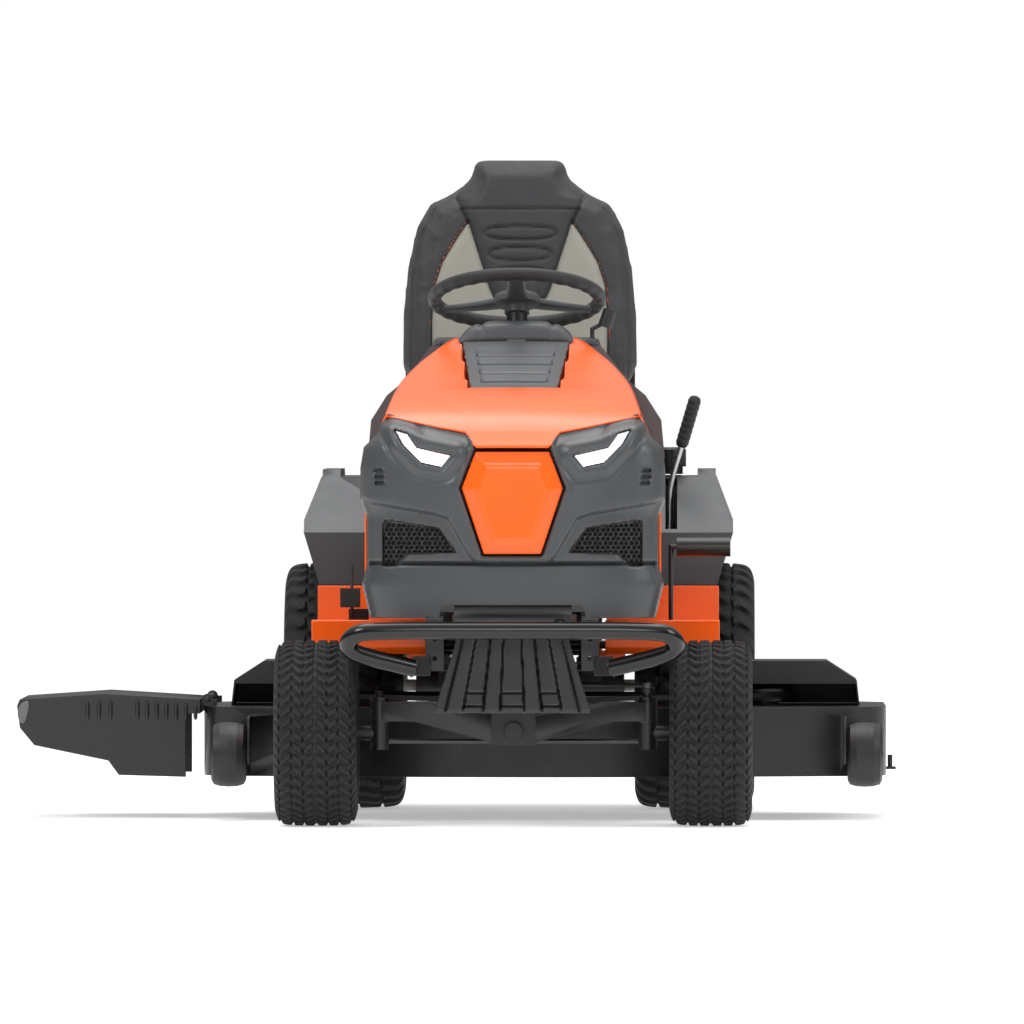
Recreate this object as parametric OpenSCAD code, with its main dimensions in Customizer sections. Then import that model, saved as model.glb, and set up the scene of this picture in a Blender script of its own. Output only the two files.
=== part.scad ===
// Riding lawn mower (garden tractor) with a three-blade side-discharge deck.
// Millimetres. +X is the operator's left, -Y is forwards and +Z is up.
// The modules are drawn with the front axle on y = 0, the centreline on x = 0 and the ground
// on z = 0. place() then moves the machine so that the middle of its footprint is the origin.

/* [Layout] */
// Height of the underside of the frame rails
rail_z = 322; // [318:1:330]
// Height of a frame rail
rail_h = 80; // [60:1:100]
// Half the width over the frame rails
rail_x = 174; // [160:1:190]

/* [Wheels] */
// Outside diameter of a front tyre
front_tyre_d = 381; // [330:1:400]
// Width of a front tyre
front_tyre_w = 173; // [140:1:180]
// Distance between the middles of the front tyres
front_track = 808; // [790:2:860]
// Outside diameter of a rear tyre
rear_tyre_d = 524; // [440:1:560]
// Width of a rear tyre
rear_tyre_w = 260; // [210:1:270]
// Distance between the middles of the rear tyres
rear_track = 744; // [730:2:800]
// Radius of the front rim's bead seat
front_rim_r = 104; // [90:1:115]
// Radius of the rear rim's bead seat
rear_rim_r = 154; // [120:1:170]

/* [Steering] */
// Distance of each kingpin from the centreline
kingpin_x = 275; // [265:1:285]
// Length of the steering arms
steer_arm = 85; // [75:1:90]
// Outside diameter of the steering wheel
wheel_d = 374; // [340:1:420]
// Diameter of the steering wheel's rim
wheel_rim_d = 29; // [24:1:36]
// Height of the steering wheel's centre
wheel_z = 1083; // [1060:1:1120]
// Lean of the steering shaft from the vertical, in degrees
column_lean = 17; // [15:0.5:19]

/* [Deck] */
// Width over the deck's side skirts
deck_w = 1420; // [1300:5:1500]
// Gap between the deck and the rear tyres
deck_gap = 62; // [30:1:120]
// Distance of the deck's middle from the centreline
deck_dx = 60; // [20:5:80]
// Height of the skirt's lower edge at rest
deck_z = 91; // [85:1:105]
// Height of the deck's shell
deck_h = 144; // [130:1:150]
// Thickness of the deck's plate
deck_t = 4; // [3:0.5:6]
// Reach of the discharge chute beyond the side skirt
chute_l = 382; // [300:1:460]

/* [Bodywork] */
// Half the width of the hood at its widest
hood_hw = 311; // [290:1:318]
// Thickness of the moulded panels
panel_t = 5; // [4:0.5:8]
// Half the width over the rear fenders
fender_hw = 453; // [440:1:500]
// Height of the fender's flat top
fender_z = 709; // [700:1:740]

/* [Seat] */
// Width of the seat
seat_w = 498; // [440:2:540]
// Height of the top of the backrest
seat_top = 1387; // [1300:1:1450]

/* [Hidden] */
$fn = 48;
fit = 0.05;                                  // radial clearance of a running fit
gap = 0.5;                                   // clearance between pieces that face each other
rail_t = 4;                                  // thickness of the rails' steel
rail_top = rail_z + rail_h;
front_z = front_tyre_d / 2;
rear_z = rear_tyre_d / 2;
front_x = front_track / 2;
rear_x = rear_track / 2;

// Cutting circles: the two outer blades pass close to the side skirts and to the middle blade
sweep_r = 0.1638 * deck_w;                   // radius that a blade's corner sweeps
blade_hw = 30;
blade_l = 2 * sqrt(sweep_r * sweep_r - blade_hw * blade_hw);
spindle_dx = deck_w / 2 - 21 - sweep_r;
spindle_dy = sqrt(pow(2 * sweep_r + 8, 2) - pow(spindle_dx, 2));
deck_l = 2 * sweep_r + spindle_dy + 36;
deck_y0 = front_tyre_d / 2 + 110;
deck_y1 = deck_y0 + deck_l;
wheelbase = deck_y1 + deck_gap + rear_z;     // front axle to rear axle

// Front axle and steering
pivot_z = front_z + 5;                       // height of the axle's rocking pin
boss_z = front_z + 44;                       // middle of the kingpin bosses
beam_h = 40;
kingpin_r = 10;
stub_r = 9.5;
boss_h = beam_h + 6;
arm_t = 8;
arm_z = boss_z + boss_h / 2 + 18;           // underside of the drag link's arm
link_h = 10;                                 // height of a rod's eye
link_z = arm_z + arm_t + 1;                  // underside of the drag link's eye
arm_foot_z = front_z - 34;                   // underside of the tie rod's arm
tie_z = arm_foot_z + arm_t + 1;              // underside of the tie rod's eye
pin_r = 6;
ball_play = 9;                               // play round the pin at the drag link's open end
shaft_r = 12;
pinion_r = 16;
sector_r = 96;                               // pitch radius of the sector's inner teeth
sector_z = link_z + 17;
sector_t = 8;
wheel_y = 620;
shaft_foot_z = sector_z - 3;
shaft_foot_y = wheel_y - (wheel_z - shaft_foot_z) * tan(column_lean);
sector_y = shaft_foot_y - (sector_r - pinion_r);
crank_y = 120;

// Front end
nose_y = -245;                               // front of the grille
hood_y0 = -150;                              // joint between the grille and the hood
hood_y1 = 455;                               // rear edge of the hood
hood_z0 = 470;                               // lower edge of the hood's sides
grille_z0 = 429;
hinge_y = -205;
hinge_z = grille_z0 - 4;
bumper_r = 18;
bumper_y = -330;
bumper_z = 406;
y_front = bumper_y - bumper_r;

// Deck
deck_top = deck_z + deck_h;
deck_x0 = deck_dx - deck_w / 2;
deck_x1 = deck_dx + deck_w / 2;
spindle_y = deck_y1 - sweep_r - 28;
spindles = [[deck_dx - spindle_dx, spindle_y], [deck_dx, spindle_y - spindle_dy],
            [deck_dx + spindle_dx, spindle_y]];
pulley_r = 55;
belt_t = 10;
pulley_z = deck_top + 7;
pulley_h = 26;
roller_r = 67;
roller_w = 72;
roller_z = deck_z + 47;
roller_pin_r = 8;
deck_drop = 45;                              // how far the deck lowers from where it is drawn
deck_rise = 10;
chute_y0 = deck_y0 + 176;
chute_y1 = deck_y1 - 60;
chute_hinge_x = deck_x0 - 8;
chute_hinge_z = deck_top + 14;
chute_pin_x = chute_hinge_x + 14;
side_stud_x = 25;                            // how far the trim stud stands out of the skirt

// Rear end
fender_y0 = wheelbase - 370;
fender_y1 = wheelbase + 290;
drawbar_y1 = wheelbase + 305;
slope_y = fender_y0 + 165;                   // where the fender's sloping front meets its top
slope_z = fender_z - 117;
lever_x = 319;
lift_y = wheelbase - 265;
lift_z = rail_top + 18;
lift_arm = 160;
cap_x = 322;
cap_y = slope_y + 32;
cap_r = 32;
seat_y0 = wheelbase - 455;
seat_y1 = wheelbase - 20;
seat_lean = 8;
seat_base_hw = 190;
seat_pan_z = fender_z + 36;
tilt_y = seat_y0 - 22;
seat_base_y0 = tilt_y - 18;                  // front of the box under the seat
tilt_z = seat_pan_z + 3;
cushion_z = seat_pan_z + 27;
cushion_h = 88;

back_t = 96;                                 // thickness of the backrest
back_h = (seat_top - cushion_z - cushion_h - 4 - back_t * sin(seat_lean)) / cos(seat_lean);

// Controls
pedal_y = 520;
pedal_z = rail_z + 40;
pedal_dy = 70;                               // from the forward pedal's pivot to the reverse pedal's
brake_x = hood_hw + 11;
drive_x = -343;
foot_z = rail_z + 23;                        // underside of the footrest floor
foot_x0 = rail_x + 12;
foot_x1 = 423;

x_low = chute_hinge_x - chute_l;
x_high = deck_x1 + side_stud_x;
to_origin = [-(x_low + x_high) / 2, -(y_front + drawbar_y1) / 2, 0];

// ---- shared shapes ----

// Moves the machine so that the middle of its footprint is the origin
module place() translate(to_origin) children();

// A box from its lowest corner to its highest
module block(low, high) translate(low) cube(high - low);

// A cylinder along X
module bar_x(x0, x1, y, z, r) translate([x0, y, z]) rotate([0, 90, 0]) cylinder(h = x1 - x0, r = r);

// A cylinder along Y
module bar_y(y0, y1, x, z, r) translate([x, y0, z]) rotate([-90, 0, 0]) cylinder(h = y1 - y0, r = r);

// A round rod between two points
module rod(a, b, r) {
    d = b - a;
    translate(a) rotate([0, acos(d[2] / norm(d)), atan2(d[1], d[0])]) cylinder(h = norm(d), r = r);
}

// A round rod through a list of points, with ball corners
module bent_rod(points, r) {
    for (i = [0 : len(points) - 2]) rod(points[i], points[i + 1], r);
    for (i = [1 : len(points) - 2]) translate(points[i]) sphere(r = 1.06 * r);
}

// Both sides of the machine
module both_sides() {
    children();
    mirror([1, 0, 0]) children();
}

// Along X: a side profile given as [y, z] points, extruded from x0 to x1
module side_plate(points, x0, x1)
    translate([x0, 0, 0]) rotate([90, 0, 90]) linear_extrude(x1 - x0) polygon(points);

// Along Y: a front profile given as [x, z] points, extruded from y0 to y1
module front_plate(points, y0, y1)
    translate([0, y1, 0]) rotate([90, 0, 0]) linear_extrude(y1 - y0) polygon(points);

// The points and their mirror images in x, as one outline
function mirrored(points) =
    concat(points, [for (i = [len(points) - 1 : -1 : 0]) [-points[i][0], points[i][1]]]);

// The frame of the leaning steering shaft: its centre at the wheel's hub, +Z along the shaft
module on_column() translate([0, wheel_y, wheel_z]) rotate([-column_lean, 0, 0]) children();

// ---- chassis ----

module frame_rails() color("dimgray") both_sides() difference() {
    block([rail_x - 24, -205, rail_z], [rail_x, wheelbase + 200, rail_top]);
    block([rail_x - 25, -206, rail_z + rail_t], [rail_x - rail_t, wheelbase + 201, rail_top - rail_t]);
    for (y = [pedal_y, pedal_y + pedal_dy]) bar_x(rail_x - 5, rail_x + 1, y, pedal_z, 9 + fit);
}

// Front plates, axle carrier, engine plate, rear plate, lift-shaft bearings and the rear stand
module frame_crossmembers() color("dimgray") {
    both_sides() difference() {
        block([rail_x - 34, -211, rail_z], [rail_x + 2, -205, rail_top + 38]);
        for (z = [25, 65]) bar_y(-212, -204, rail_x - 16, rail_z + z, 5);
        bar_x(rail_x - 35, rail_x + 3, hinge_y, hinge_z, pin_r + fit);
    }
    both_sides() difference() {
        bar_x(rail_x - 33, rail_x + 2, hinge_y, hinge_z, 13);
        bar_x(rail_x - 34, rail_x + 3, hinge_y, hinge_z, pin_r + fit);
    }
    for (y = [-36, 30]) difference() {
        block([-45, y, pivot_z - 30], [45, y + 6, rail_z - rail_t]);
        bar_y(y - 1, y + 7, 0, pivot_z, 12 + fit);
    }
    block([-rail_x, -60, rail_z - rail_t], [rail_x, 60, rail_z]);
    difference() {
        block([-rail_x, -60, rail_top], [rail_x, 330, rail_top + 6]);
        translate([0, crank_y, rail_top - 1]) cylinder(h = 8, r = 22);
    }
    block([-rail_x, wheelbase + 200, rail_z], [rail_x, wheelbase + 206, rail_top]);
    both_sides() difference() {
        block([rail_x - 24, lift_y - 16, rail_top], [rail_x - 14, lift_y + 16, lift_z + 16]);
        bar_x(rail_x - 25, rail_x - 13, lift_y, lift_z, 9 + fit);
    }
    both_sides() for (y = [wheelbase - 195, wheelbase + 150])
        block([rail_x - 24, y, rail_top], [rail_x, y + 24, fender_z - panel_t]);
    block([-rail_x - 10, wheelbase - 215, fender_z - 171], [rail_x + 10, wheelbase + 174, fender_z - 166]);
    bar_x(-rail_x + rail_t, rail_x - rail_t, 640, pedal_z, 14);
    block([-rail_x + rail_t, sector_y - 20, rail_z + rail_t], [rail_x - rail_t, sector_y + 20, rail_z + 8]);
    translate([0, sector_y, sector_z - 2]) cylinder(h = rail_z + 7 - sector_z, r = 8);
    translate([0, sector_y, sector_z - 8]) cylinder(h = 7, r = 13);
}

module front_bumper() color("black") {
    tip = rail_x + 28;
    bend = [[tip, -222, rail_z + 6], [300, -270, rail_z + 30], [338, -292, rail_z + 46],
        [324, bumper_y + 9, bumper_z - 9], [290, bumper_y, bumper_z]];
    line = concat([for (p = bend) [-p[0], p[1], p[2]]], [for (i = [len(bend) - 1 : -1 : 0]) bend[i]]);
    for (i = [0 : len(line) - 2]) hull()
        for (p = [line[i], line[i + 1]]) translate(p) sphere(r = bumper_r, $fn = 24);
    both_sides() block([rail_x - 8, -222, rail_z - 10], [tip, -211, rail_z + 30]);
}

// Ribbed stamping between the frame's front plates
module front_guard() color("dimgray") {
    top_z = rail_top + 2;
    foot = rail_z - 88;
    difference() {
        front_plate(mirrored([[0, top_z], [98, top_z], [104, rail_z + 40], [168, foot]]), -232, -226);
        for (x = [-104, -1, 104]) block([x - 28, -233, foot + 8], [x + 28, -225, foot + 76]);
    }
    for (s = [-1, 1]) {
        side = [[s * 76, top_z], [s * 98, top_z], [s * 104, rail_z + 40], [s * 168, foot], [s * 136, foot],
            [s * 82, rail_z + 40]];
        front_plate(side, -244, -232);
        block([s * 46 - 14, -244, foot], [s * 46 + 14, -232, top_z]);
    }
    both_sides() block([60, -226, rail_z + 20], [88, -205, rail_z + 50]);
    both_sides() block([60, -211, rail_z + 20], [rail_x - 34, -205, rail_z + 50]);
}

module finned_cylinder(angle) {
    translate([0, crank_y, rail_top + 92]) rotate([0, 0, angle]) {
        block([-48, -170, -44], [48, -90, 44]);
        for (y = [-164 : 12 : -100]) block([-62, y, -56], [62, y + 5, 56]);
        block([-58, -196, -50], [58, -170, 50]);
    }
}

module engine_block() color("silver") {
    translate([0, crank_y, rail_top + 6]) cylinder(h = 24, r = 128);
    translate([0, crank_y, rail_top + 30]) cylinder(h = 120, r = 112);
    translate([0, crank_y, rail_top + 150]) cylinder(h = 59, r = 90);
    finned_cylinder(42);
    finned_cylinder(-42);
    bar_x(112, 160, crank_y + 60, rail_top + 60, 34);
}

module blower_housing() color("dimgray") {
    z = rail_top + 150;
    difference() {
        union() {
            translate([0, crank_y, z]) cylinder(h = 90, r = 150);
            block([-120, -64, z], [120, crank_y, z + 70]);
        }
        translate([0, crank_y, z - 1]) cylinder(h = 60, r = 142);
        translate([0, crank_y, z]) cylinder(h = 95, r = 70);
    }
    difference() {
        translate([0, crank_y, z + 90]) cylinder(h = 34, r = 92);
        translate([0, crank_y, z + 89]) cylinder(h = 25, r = 84);
        for (a = [0 : 20 : 340]) translate([0, crank_y, z + 110]) rotate([0, 0, a])
            block([30, -4, 0], [74, 4, 30]);
    }
    block([-90, crank_y + 96, z + 90], [90, crank_y + 148, z + 150]);
}

module muffler() color("gray") {
    bar_x(-120, 120, -135, rail_top + 46, 36);
    both_sides() rod([66, -135, rail_top + 76], [78, -92, rail_top + 86], 14);
    rod([96, -150, rail_top + 20], [104, -160, rail_z + 10], 15);
    both_sides() block([100, -110, rail_top + 6], [118, -30, rail_top + 30]);
}

module battery() color("black") {
    z = fender_z - 166;
    block([-144, wheelbase - 180, z], [-14, wheelbase - 10, z + 135]);
    for (x = [-126, -32]) translate([x, wheelbase - 30, z + 135]) cylinder(h = 14, r = 8);
}

module fuel_tank() color("black") {
    z = fender_z - 150;
    difference() {
        union() {
            block([24, wheelbase - 150, z], [rail_x + 6, wheelbase + 120, z + 130]);
            block([rail_x + 5, cap_y - 30, z + 20], [cap_x + 45, cap_y + 90, z + 130]);
            translate([cap_x, cap_y, z + 129]) cylinder(h = 24, r = 22);
        }
        translate([cap_x, cap_y, z + 60]) cylinder(h = 94, r = 17);
    }
    block([24, wheelbase - 60, z - 16], [rail_x - 34, wheelbase + 60, z]);
}

module transaxle() color("silver") {
    z_high = rail_z - 2;
    difference() {
        union() {
            block([-112, wheelbase - 120, rear_z - 62], [112, wheelbase + 96, z_high - 6]);
            both_sides() bar_x(111, rear_x - rear_tyre_w / 2 - 20, wheelbase, rear_z, 34);
            both_sides() block([120, wheelbase - 50, rear_z], [rail_x, wheelbase + 50, rail_z]);
            for (x = [-90 : 20 : 90]) block([x - 2, wheelbase + 20, rear_z - 70], [x + 2, wheelbase + 90, rear_z - 60]);
        }
        both_sides() bar_x(150, rear_x, wheelbase, rear_z, 12.7 + fit);
    }
    translate([0, wheelbase - 70, z_high - 6]) cylinder(h = 6, r = 40);
    translate([0, wheelbase - 70, z_high]) cylinder(h = 30, r = 12);
    translate([0, wheelbase - 70, z_high + 30]) cylinder(h = 18, r = 62);
    for (a = [0 : 45 : 315]) translate([0, wheelbase - 70, z_high + 48]) rotate([0, 0, a])
        block([14, -2, 0], [74, 2, 16]);
    translate([0, wheelbase - 70, z_high + 48]) cylinder(h = 16, r = 20);
}

module drawbar() color("dimgray") difference() {
    union() {
        block([-60, wheelbase + 206, rail_z], [60, wheelbase + 214, rail_z + 60]);
        block([-60, wheelbase + 206, rail_z], [60, drawbar_y1 - 30, rail_z + 8]);
        translate([0, drawbar_y1 - 60, rail_z]) intersection() {
            cylinder(h = 8, r = 60);
            block([-60, 0, 0], [60, 60, 8]);
        }
    }
    translate([0, drawbar_y1 - 25, rail_z - 1]) cylinder(h = 10, r = 9.5);
}

// ---- dash ----

// Front outline of the dash's wide upper part, behind the hood
function dash_front(t) = mirrored([[172 - t, 500], [172 - t, 640], [292 - t, 700 + t], [hood_hw - 2 - t, 752],
    [hood_hw - 9 - t, 830], [hood_hw - 42 - t, 882 - t], [hood_hw - 78 - t, 912 - t], [176 - t, 985 - t * sign(t)]]);

module dash_tower() color("slategray") difference() {
    union() {
        side_plate([[462, rail_top], [560, rail_top], [640, 900], [652, 985], [462, 985]], -172, 172);
        front_plate(dash_front(0), 462, 560);
    }
    side_plate([[462 + panel_t, rail_top - 1], [560 - panel_t, rail_top - 1], [640 - panel_t, 900],
        [652 - panel_t, 986], [462 + panel_t, 986]], -172 + panel_t, 172 - panel_t);
    front_plate(dash_front(panel_t), 462 + panel_t, 560 - panel_t);
    on_column() translate([0, 0, -900]) cylinder(h = 480, r = 20);
    bar_x(160, 180, 532, 960, 6 + fit);
    bar_y(620, 660, -104, 940, 9 + fit);
}

module dash_cowl() color("slategray") difference() {
    union() {
        side_plate([[462, 985], [652, 985], [640, 1004], [462, 1008]], -176, 176);
        side_plate([[470, 1004], [640, 1000], [622, 1036], [590, 1042], [482, 1042]], -118, 118);
    }
    side_plate([[462 + panel_t, 985], [652 - panel_t, 985], [636, 999], [616, 1030], [488, 1036],
        [462 + panel_t, 1003]], -118 + panel_t, 118 - panel_t);
    on_column() translate([0, 0, -120]) cylinder(h = 140, r = 23);
    block([150, 507, 980], [166, 557, 1012]);
}

// Tube round the steering shaft, with the cross plate that holds it in the dash tower
module steering_column() color("black") difference() {
    union() {
        on_column() translate([0, 0, -420]) cylinder(h = 385, r = 22);
        block([-172 + panel_t, 474, 694], [172 - panel_t, 534, 702]);
    }
    on_column() translate([0, 0, -421]) cylinder(h = 387, r = shaft_r + fit);
}

module footrests() color("orangered") both_sides() {
    y_wall = fender_y0;
    side_plate([[338, foot_z + 70], [344, foot_z + 72], [362, foot_z + 18], [384, foot_z + panel_t],
        [y_wall - 40, foot_z + panel_t], [y_wall - 5, foot_z + 60], [y_wall - 5, slope_z - 112],
        [y_wall, slope_z - 112], [y_wall, foot_z + 58], [y_wall - 38, foot_z], [382, foot_z],
        [358, foot_z + 14]], foot_x0, foot_x1);
    for (y = [420, y_wall - 90]) block([rail_x, y, foot_z - 14], [foot_x0 + 40, y + 30, foot_z]);
}

// ---- rear bodywork and seat ----

fender_side = [[fender_y0, slope_z - 110], [fender_y0, slope_z], [slope_y, fender_z], [fender_y1 - 40, fender_z],
    [fender_y1, fender_z - 50], [fender_y1, fender_z - 200]];
fender_inner = [[fender_y0 + panel_t, slope_z - 111], [fender_y0 + panel_t, slope_z - 2],
    [slope_y + 2, fender_z - panel_t], [fender_y1 - 42, fender_z - panel_t],
    [fender_y1 - panel_t, fender_z - 52], [fender_y1 - panel_t, fender_z - 201]];

// Box under the seat, ahead of the fender's sloping front
seat_base = [[seat_base_y0, fender_z - 62], [seat_base_y0, fender_z], [slope_y, fender_z], [fender_y0, slope_z],
    [fender_y0, slope_z - 110]];
seat_base_inner = [[seat_base_y0 + panel_t, fender_z - 61], [seat_base_y0 + panel_t, fender_z - panel_t],
    [slope_y + 20, fender_z - panel_t], [slope_y + 20, slope_z - 111], [fender_y0 + panel_t, slope_z - 111]];

// Front outline of the fender, with its corners cut; t is the inset of the sheet
function fender_front(t) = mirrored([[fender_hw - 34 - t, slope_z - 112 - 2 * sign(t)], [fender_hw - t, slope_z],
    [fender_hw - t, fender_z - 90], [fender_hw - 34 - 0.7 * t, fender_z - t + sign(t)]]);

module fender_body(side, t) intersection() {
    side_plate(side, -fender_hw - 1, fender_hw + 1);
    front_plate(fender_front(t), fender_y0 - 1, fender_y1 + 1);
}

module rear_fender() color("slategray") {
    difference() {
        union() {
            fender_body(fender_side, 0);
            side_plate(seat_base, -seat_base_hw, seat_base_hw);
        }
        fender_body(fender_inner, panel_t);
        side_plate(seat_base_inner, -seat_base_hw + panel_t, seat_base_hw - panel_t);
        both_sides() bar_x(rear_x - rear_tyre_w / 2 - 16, fender_hw + 2, wheelbase, rear_z, rear_z + 26);
        translate([cap_x, cap_y, fender_z - 20]) cylinder(h = 40, r = 26);
        block([lever_x - 9, fender_y0 + 10, slope_z - 1], [lever_x + 16, slope_y + 2, fender_z + 1]);
    }
    both_sides() side_plate([[slope_y - 10, fender_z - 8], [slope_y + 14, fender_z + 15],
        [fender_y1 - 90, fender_z + 15], [fender_y1 - 60, fender_z - 1]], fender_hw - 74, fender_hw - 36);
    both_sides() difference() {
        block([150, tilt_y - 10, fender_z - 1], [158, tilt_y + 10, tilt_z + 8]);
        bar_x(149, 159, tilt_y, tilt_z, pin_r + fit);
    }
}

// Hinged pan that carries the seat, with its slide rails and two springs
module seat_bracket() color("black") {
    block([-140, tilt_y + 2, seat_pan_z], [140, seat_y1 - 40, seat_pan_z + 6]);
    both_sides() block([80, tilt_y + 30, seat_pan_z + 6], [104, seat_y1 - 50, seat_pan_z + 11]);
    bar_x(-162, 162, tilt_y, tilt_z, pin_r);
    bar_x(-140, 140, tilt_y, tilt_z, 8);
    both_sides() translate([110, seat_y1 - 90, fender_z + 1]) difference() {
        cylinder(h = seat_pan_z - fender_z - 1, r = 20);
        for (z = [4 : 8 : 30]) translate([0, 0, z]) difference() {
            cylinder(h = 4, r = 21);
            translate([0, 0, -1]) cylinder(h = 6, r = 15);
        }
    }
}

module seat_cushion() color("dimgray") hull() for (x = [-1, 1]) {
    translate([x * (seat_w / 2 - 45), seat_y0 + 45, cushion_z + 30]) sphere(r = 30, $fn = 24);
    translate([x * (seat_w / 2 - 45), seat_y1 - 70, cushion_z + 30]) sphere(r = 30, $fn = 24);
    translate([x * (seat_w / 2 - 45), seat_y0 + 60, cushion_z + cushion_h - 30]) sphere(r = 30, $fn = 24);
    translate([x * (seat_w / 2 - 45), seat_y1 - 80, cushion_z + cushion_h - 36]) sphere(r = 30, $fn = 24);
}

// Outline of the backrest seen from the front, as [x, height over its foot]
back_outline = mirrored([[0, back_h], [80, back_h], [94, back_h - 10], [112, back_h - 46], [146, back_h - 72],
    [194, back_h - 98], [222, back_h - 150], [seat_w / 2 - 8, back_h - 240], [seat_w / 2, back_h - 330],
    [seat_w / 2, 70], [seat_w / 2 - 30, 10], [seat_w / 2 - 70, 0]]);

// The leaning frame of the backrest: its origin at the foot of the backrest's rear face
module on_back() translate([0, seat_y1 + 20, cushion_z + cushion_h + 4]) rotate([-seat_lean, 0, 0]) children();

module seat_backrest() color("dimgray") on_back() difference() {
    front_plate(back_outline, -back_t, 0);
    both_sides() front_plate([[seat_w / 2 - 70, back_h + 1], [seat_w / 2 + 1, back_h + 1],
        [seat_w / 2 + 1, back_h - 80]], -back_t - 1, 1);
}

module seat_shell() color("black") {
    block([-seat_w / 2 + 20, seat_y0 + 12, seat_pan_z + 11 + gap], [seat_w / 2 - 20, seat_y1 + 10, cushion_z - gap]);
    both_sides() block([60, seat_y1 - 6, cushion_z - 4], [110, seat_y1 + 22, cushion_z + 84]);
    on_back() difference() {
        front_plate([[-seat_w / 2 + 4, 10], [seat_w / 2 - 4, 10], [seat_w / 2 - 4, back_h - 300],
            [150, back_h - 110], [-150, back_h - 110], [-seat_w / 2 + 4, back_h - 300]], gap, 16);
        front_plate([[-120, 60], [120, 60], [120, 80], [-120, 80]], 8, 17);
    }
    both_sides() on_back() block([62, gap, -40], [108, 14, 11]);
}

// ---- front axle and steering ----

module axle_beam() color("dimgray") {
    difference() {
        union() {
            front_plate(mirrored([[0, pivot_z + 24], [kingpin_x - 90, boss_z + beam_h / 2],
                [kingpin_x - 4, boss_z + beam_h / 2], [kingpin_x - 4, boss_z - beam_h / 2],
                [kingpin_x - 70, boss_z - beam_h / 2], [40, pivot_z - 26], [0, pivot_z - 26]]), -20, 20);
            both_sides() translate([kingpin_x, 0, boss_z - boss_h / 2]) cylinder(h = boss_h, r = 20);
            bar_y(-29, 29, 0, pivot_z, 26);
        }
        both_sides() translate([kingpin_x, 0, boss_z - boss_h / 2 - 1]) cylinder(h = boss_h + 2, r = kingpin_r + fit);
    }
    bar_y(-44, 44, 0, pivot_z, 12);
    bar_y(-56, -44, 0, pivot_z, 18);
}

// A steering spindle, drawn for the +X side: kingpin, stub axle and tie-rod arm
module spindle(with_link_arm) color("dimgray") {
    foot = boss_z - boss_h / 2 - gap;
    translate([kingpin_x, 0, arm_foot_z]) cylinder(h = arm_z - arm_foot_z, r = kingpin_r);
    translate([kingpin_x, 0, arm_foot_z]) cylinder(h = foot - arm_foot_z, r = 19);
    bar_x(kingpin_x, front_x + 62, 0, front_z, stub_r);
    bar_x(kingpin_x, front_x - 56, 0, front_z, 15);
    block([kingpin_x - 14, 0, arm_foot_z], [kingpin_x + 14, steer_arm, arm_foot_z + arm_t]);
    translate([kingpin_x, steer_arm, arm_foot_z]) cylinder(h = arm_t, r = 14);
    translate([kingpin_x, steer_arm, arm_foot_z + 1]) cylinder(h = arm_t + 16, r = pin_r);
    translate([kingpin_x, 0, boss_z + boss_h / 2 + gap]) cylinder(h = 6, r = 18);
    if (with_link_arm) {
        block([kingpin_x - 14, -steer_arm, arm_z], [kingpin_x + 14, 0, arm_z + arm_t]);
        translate([kingpin_x, -steer_arm, arm_z]) cylinder(h = arm_t, r = 14);
        translate([kingpin_x, 0, arm_z]) cylinder(h = arm_t, r = 14);
        translate([kingpin_x, -steer_arm, arm_z + arm_t - 1]) cylinder(h = link_h + 4, r = pin_r);
    }
}

module spindle_left() spindle(true);
module spindle_right() mirror([1, 0, 0]) spindle(false);

module tie_rod() color("silver") difference() {
    union() {
        bar_x(-kingpin_x, kingpin_x, steer_arm, tie_z + link_h / 2 + 1, 5);
        for (x = [-kingpin_x, kingpin_x]) translate([x, steer_arm, tie_z]) cylinder(h = link_h + 2, r = 13);
    }
    translate([kingpin_x, steer_arm, tie_z - 1]) cylinder(h = link_h + 4, r = pin_r + fit);
    translate([-kingpin_x, steer_arm, tie_z - 1]) cylinder(h = link_h + 4, r = pin_r + 1);
}

module drag_link() color("silver") difference() {
    union() {
        rod([kingpin_x, -steer_arm, link_z + link_h / 2], [0, sector_y - steer_arm, link_z + link_h / 2], 4.5);
        translate([kingpin_x, -steer_arm, link_z]) cylinder(h = link_h, r = 12);
        translate([0, sector_y - steer_arm, link_z]) cylinder(h = link_h, r = pin_r + ball_play + 5);
    }
    translate([kingpin_x, -steer_arm, link_z - 1]) cylinder(h = link_h + 2, r = pin_r + fit);
    translate([0, sector_y - steer_arm, link_z - 1]) cylinder(h = link_h + 2, r = pin_r + ball_play);
}

// Plate with inner teeth that the shaft's pinion turns, and the arm that pulls the drag link
module sector_gear() color("silver") translate([0, sector_y, sector_z]) difference() {
    union() {
        intersection() {
            cylinder(h = sector_t, r = sector_r + 22);
            linear_extrude(sector_t) polygon([[0, 0], [-150, 80], [-60, 170], [60, 170], [150, 80]]);
        }
        cylinder(h = sector_t, r = 24);
        block([-14, -steer_arm, 0], [14, 0, sector_t]);
        translate([0, -steer_arm, 0]) cylinder(h = sector_t, r = 14);
        translate([0, -steer_arm, link_z - sector_z - 6]) cylinder(h = sector_z - link_z + 7, r = pin_r);
    }
    intersection() {
        difference() {
            translate([0, 0, -1]) cylinder(h = sector_t + 2, r = sector_r + 2);
            translate([0, 0, -2]) cylinder(h = sector_t + 4, r = 50);
        }
        translate([0, 0, -1]) linear_extrude(sector_t + 2) polygon([[0, 0], [-110, 88], [0, 180], [110, 88]]);
    }
    for (a = [90 - 48 : 6 : 90 + 48]) rotate([0, 0, a]) translate([sector_r + 1, 0, -1])
        linear_extrude(sector_t + 2) polygon([[0, -3], [5, -1.2], [5, 1.2], [0, 3]]);
    translate([0, 0, -1]) cylinder(h = sector_t + 2, r = 8 + fit);
}

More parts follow.
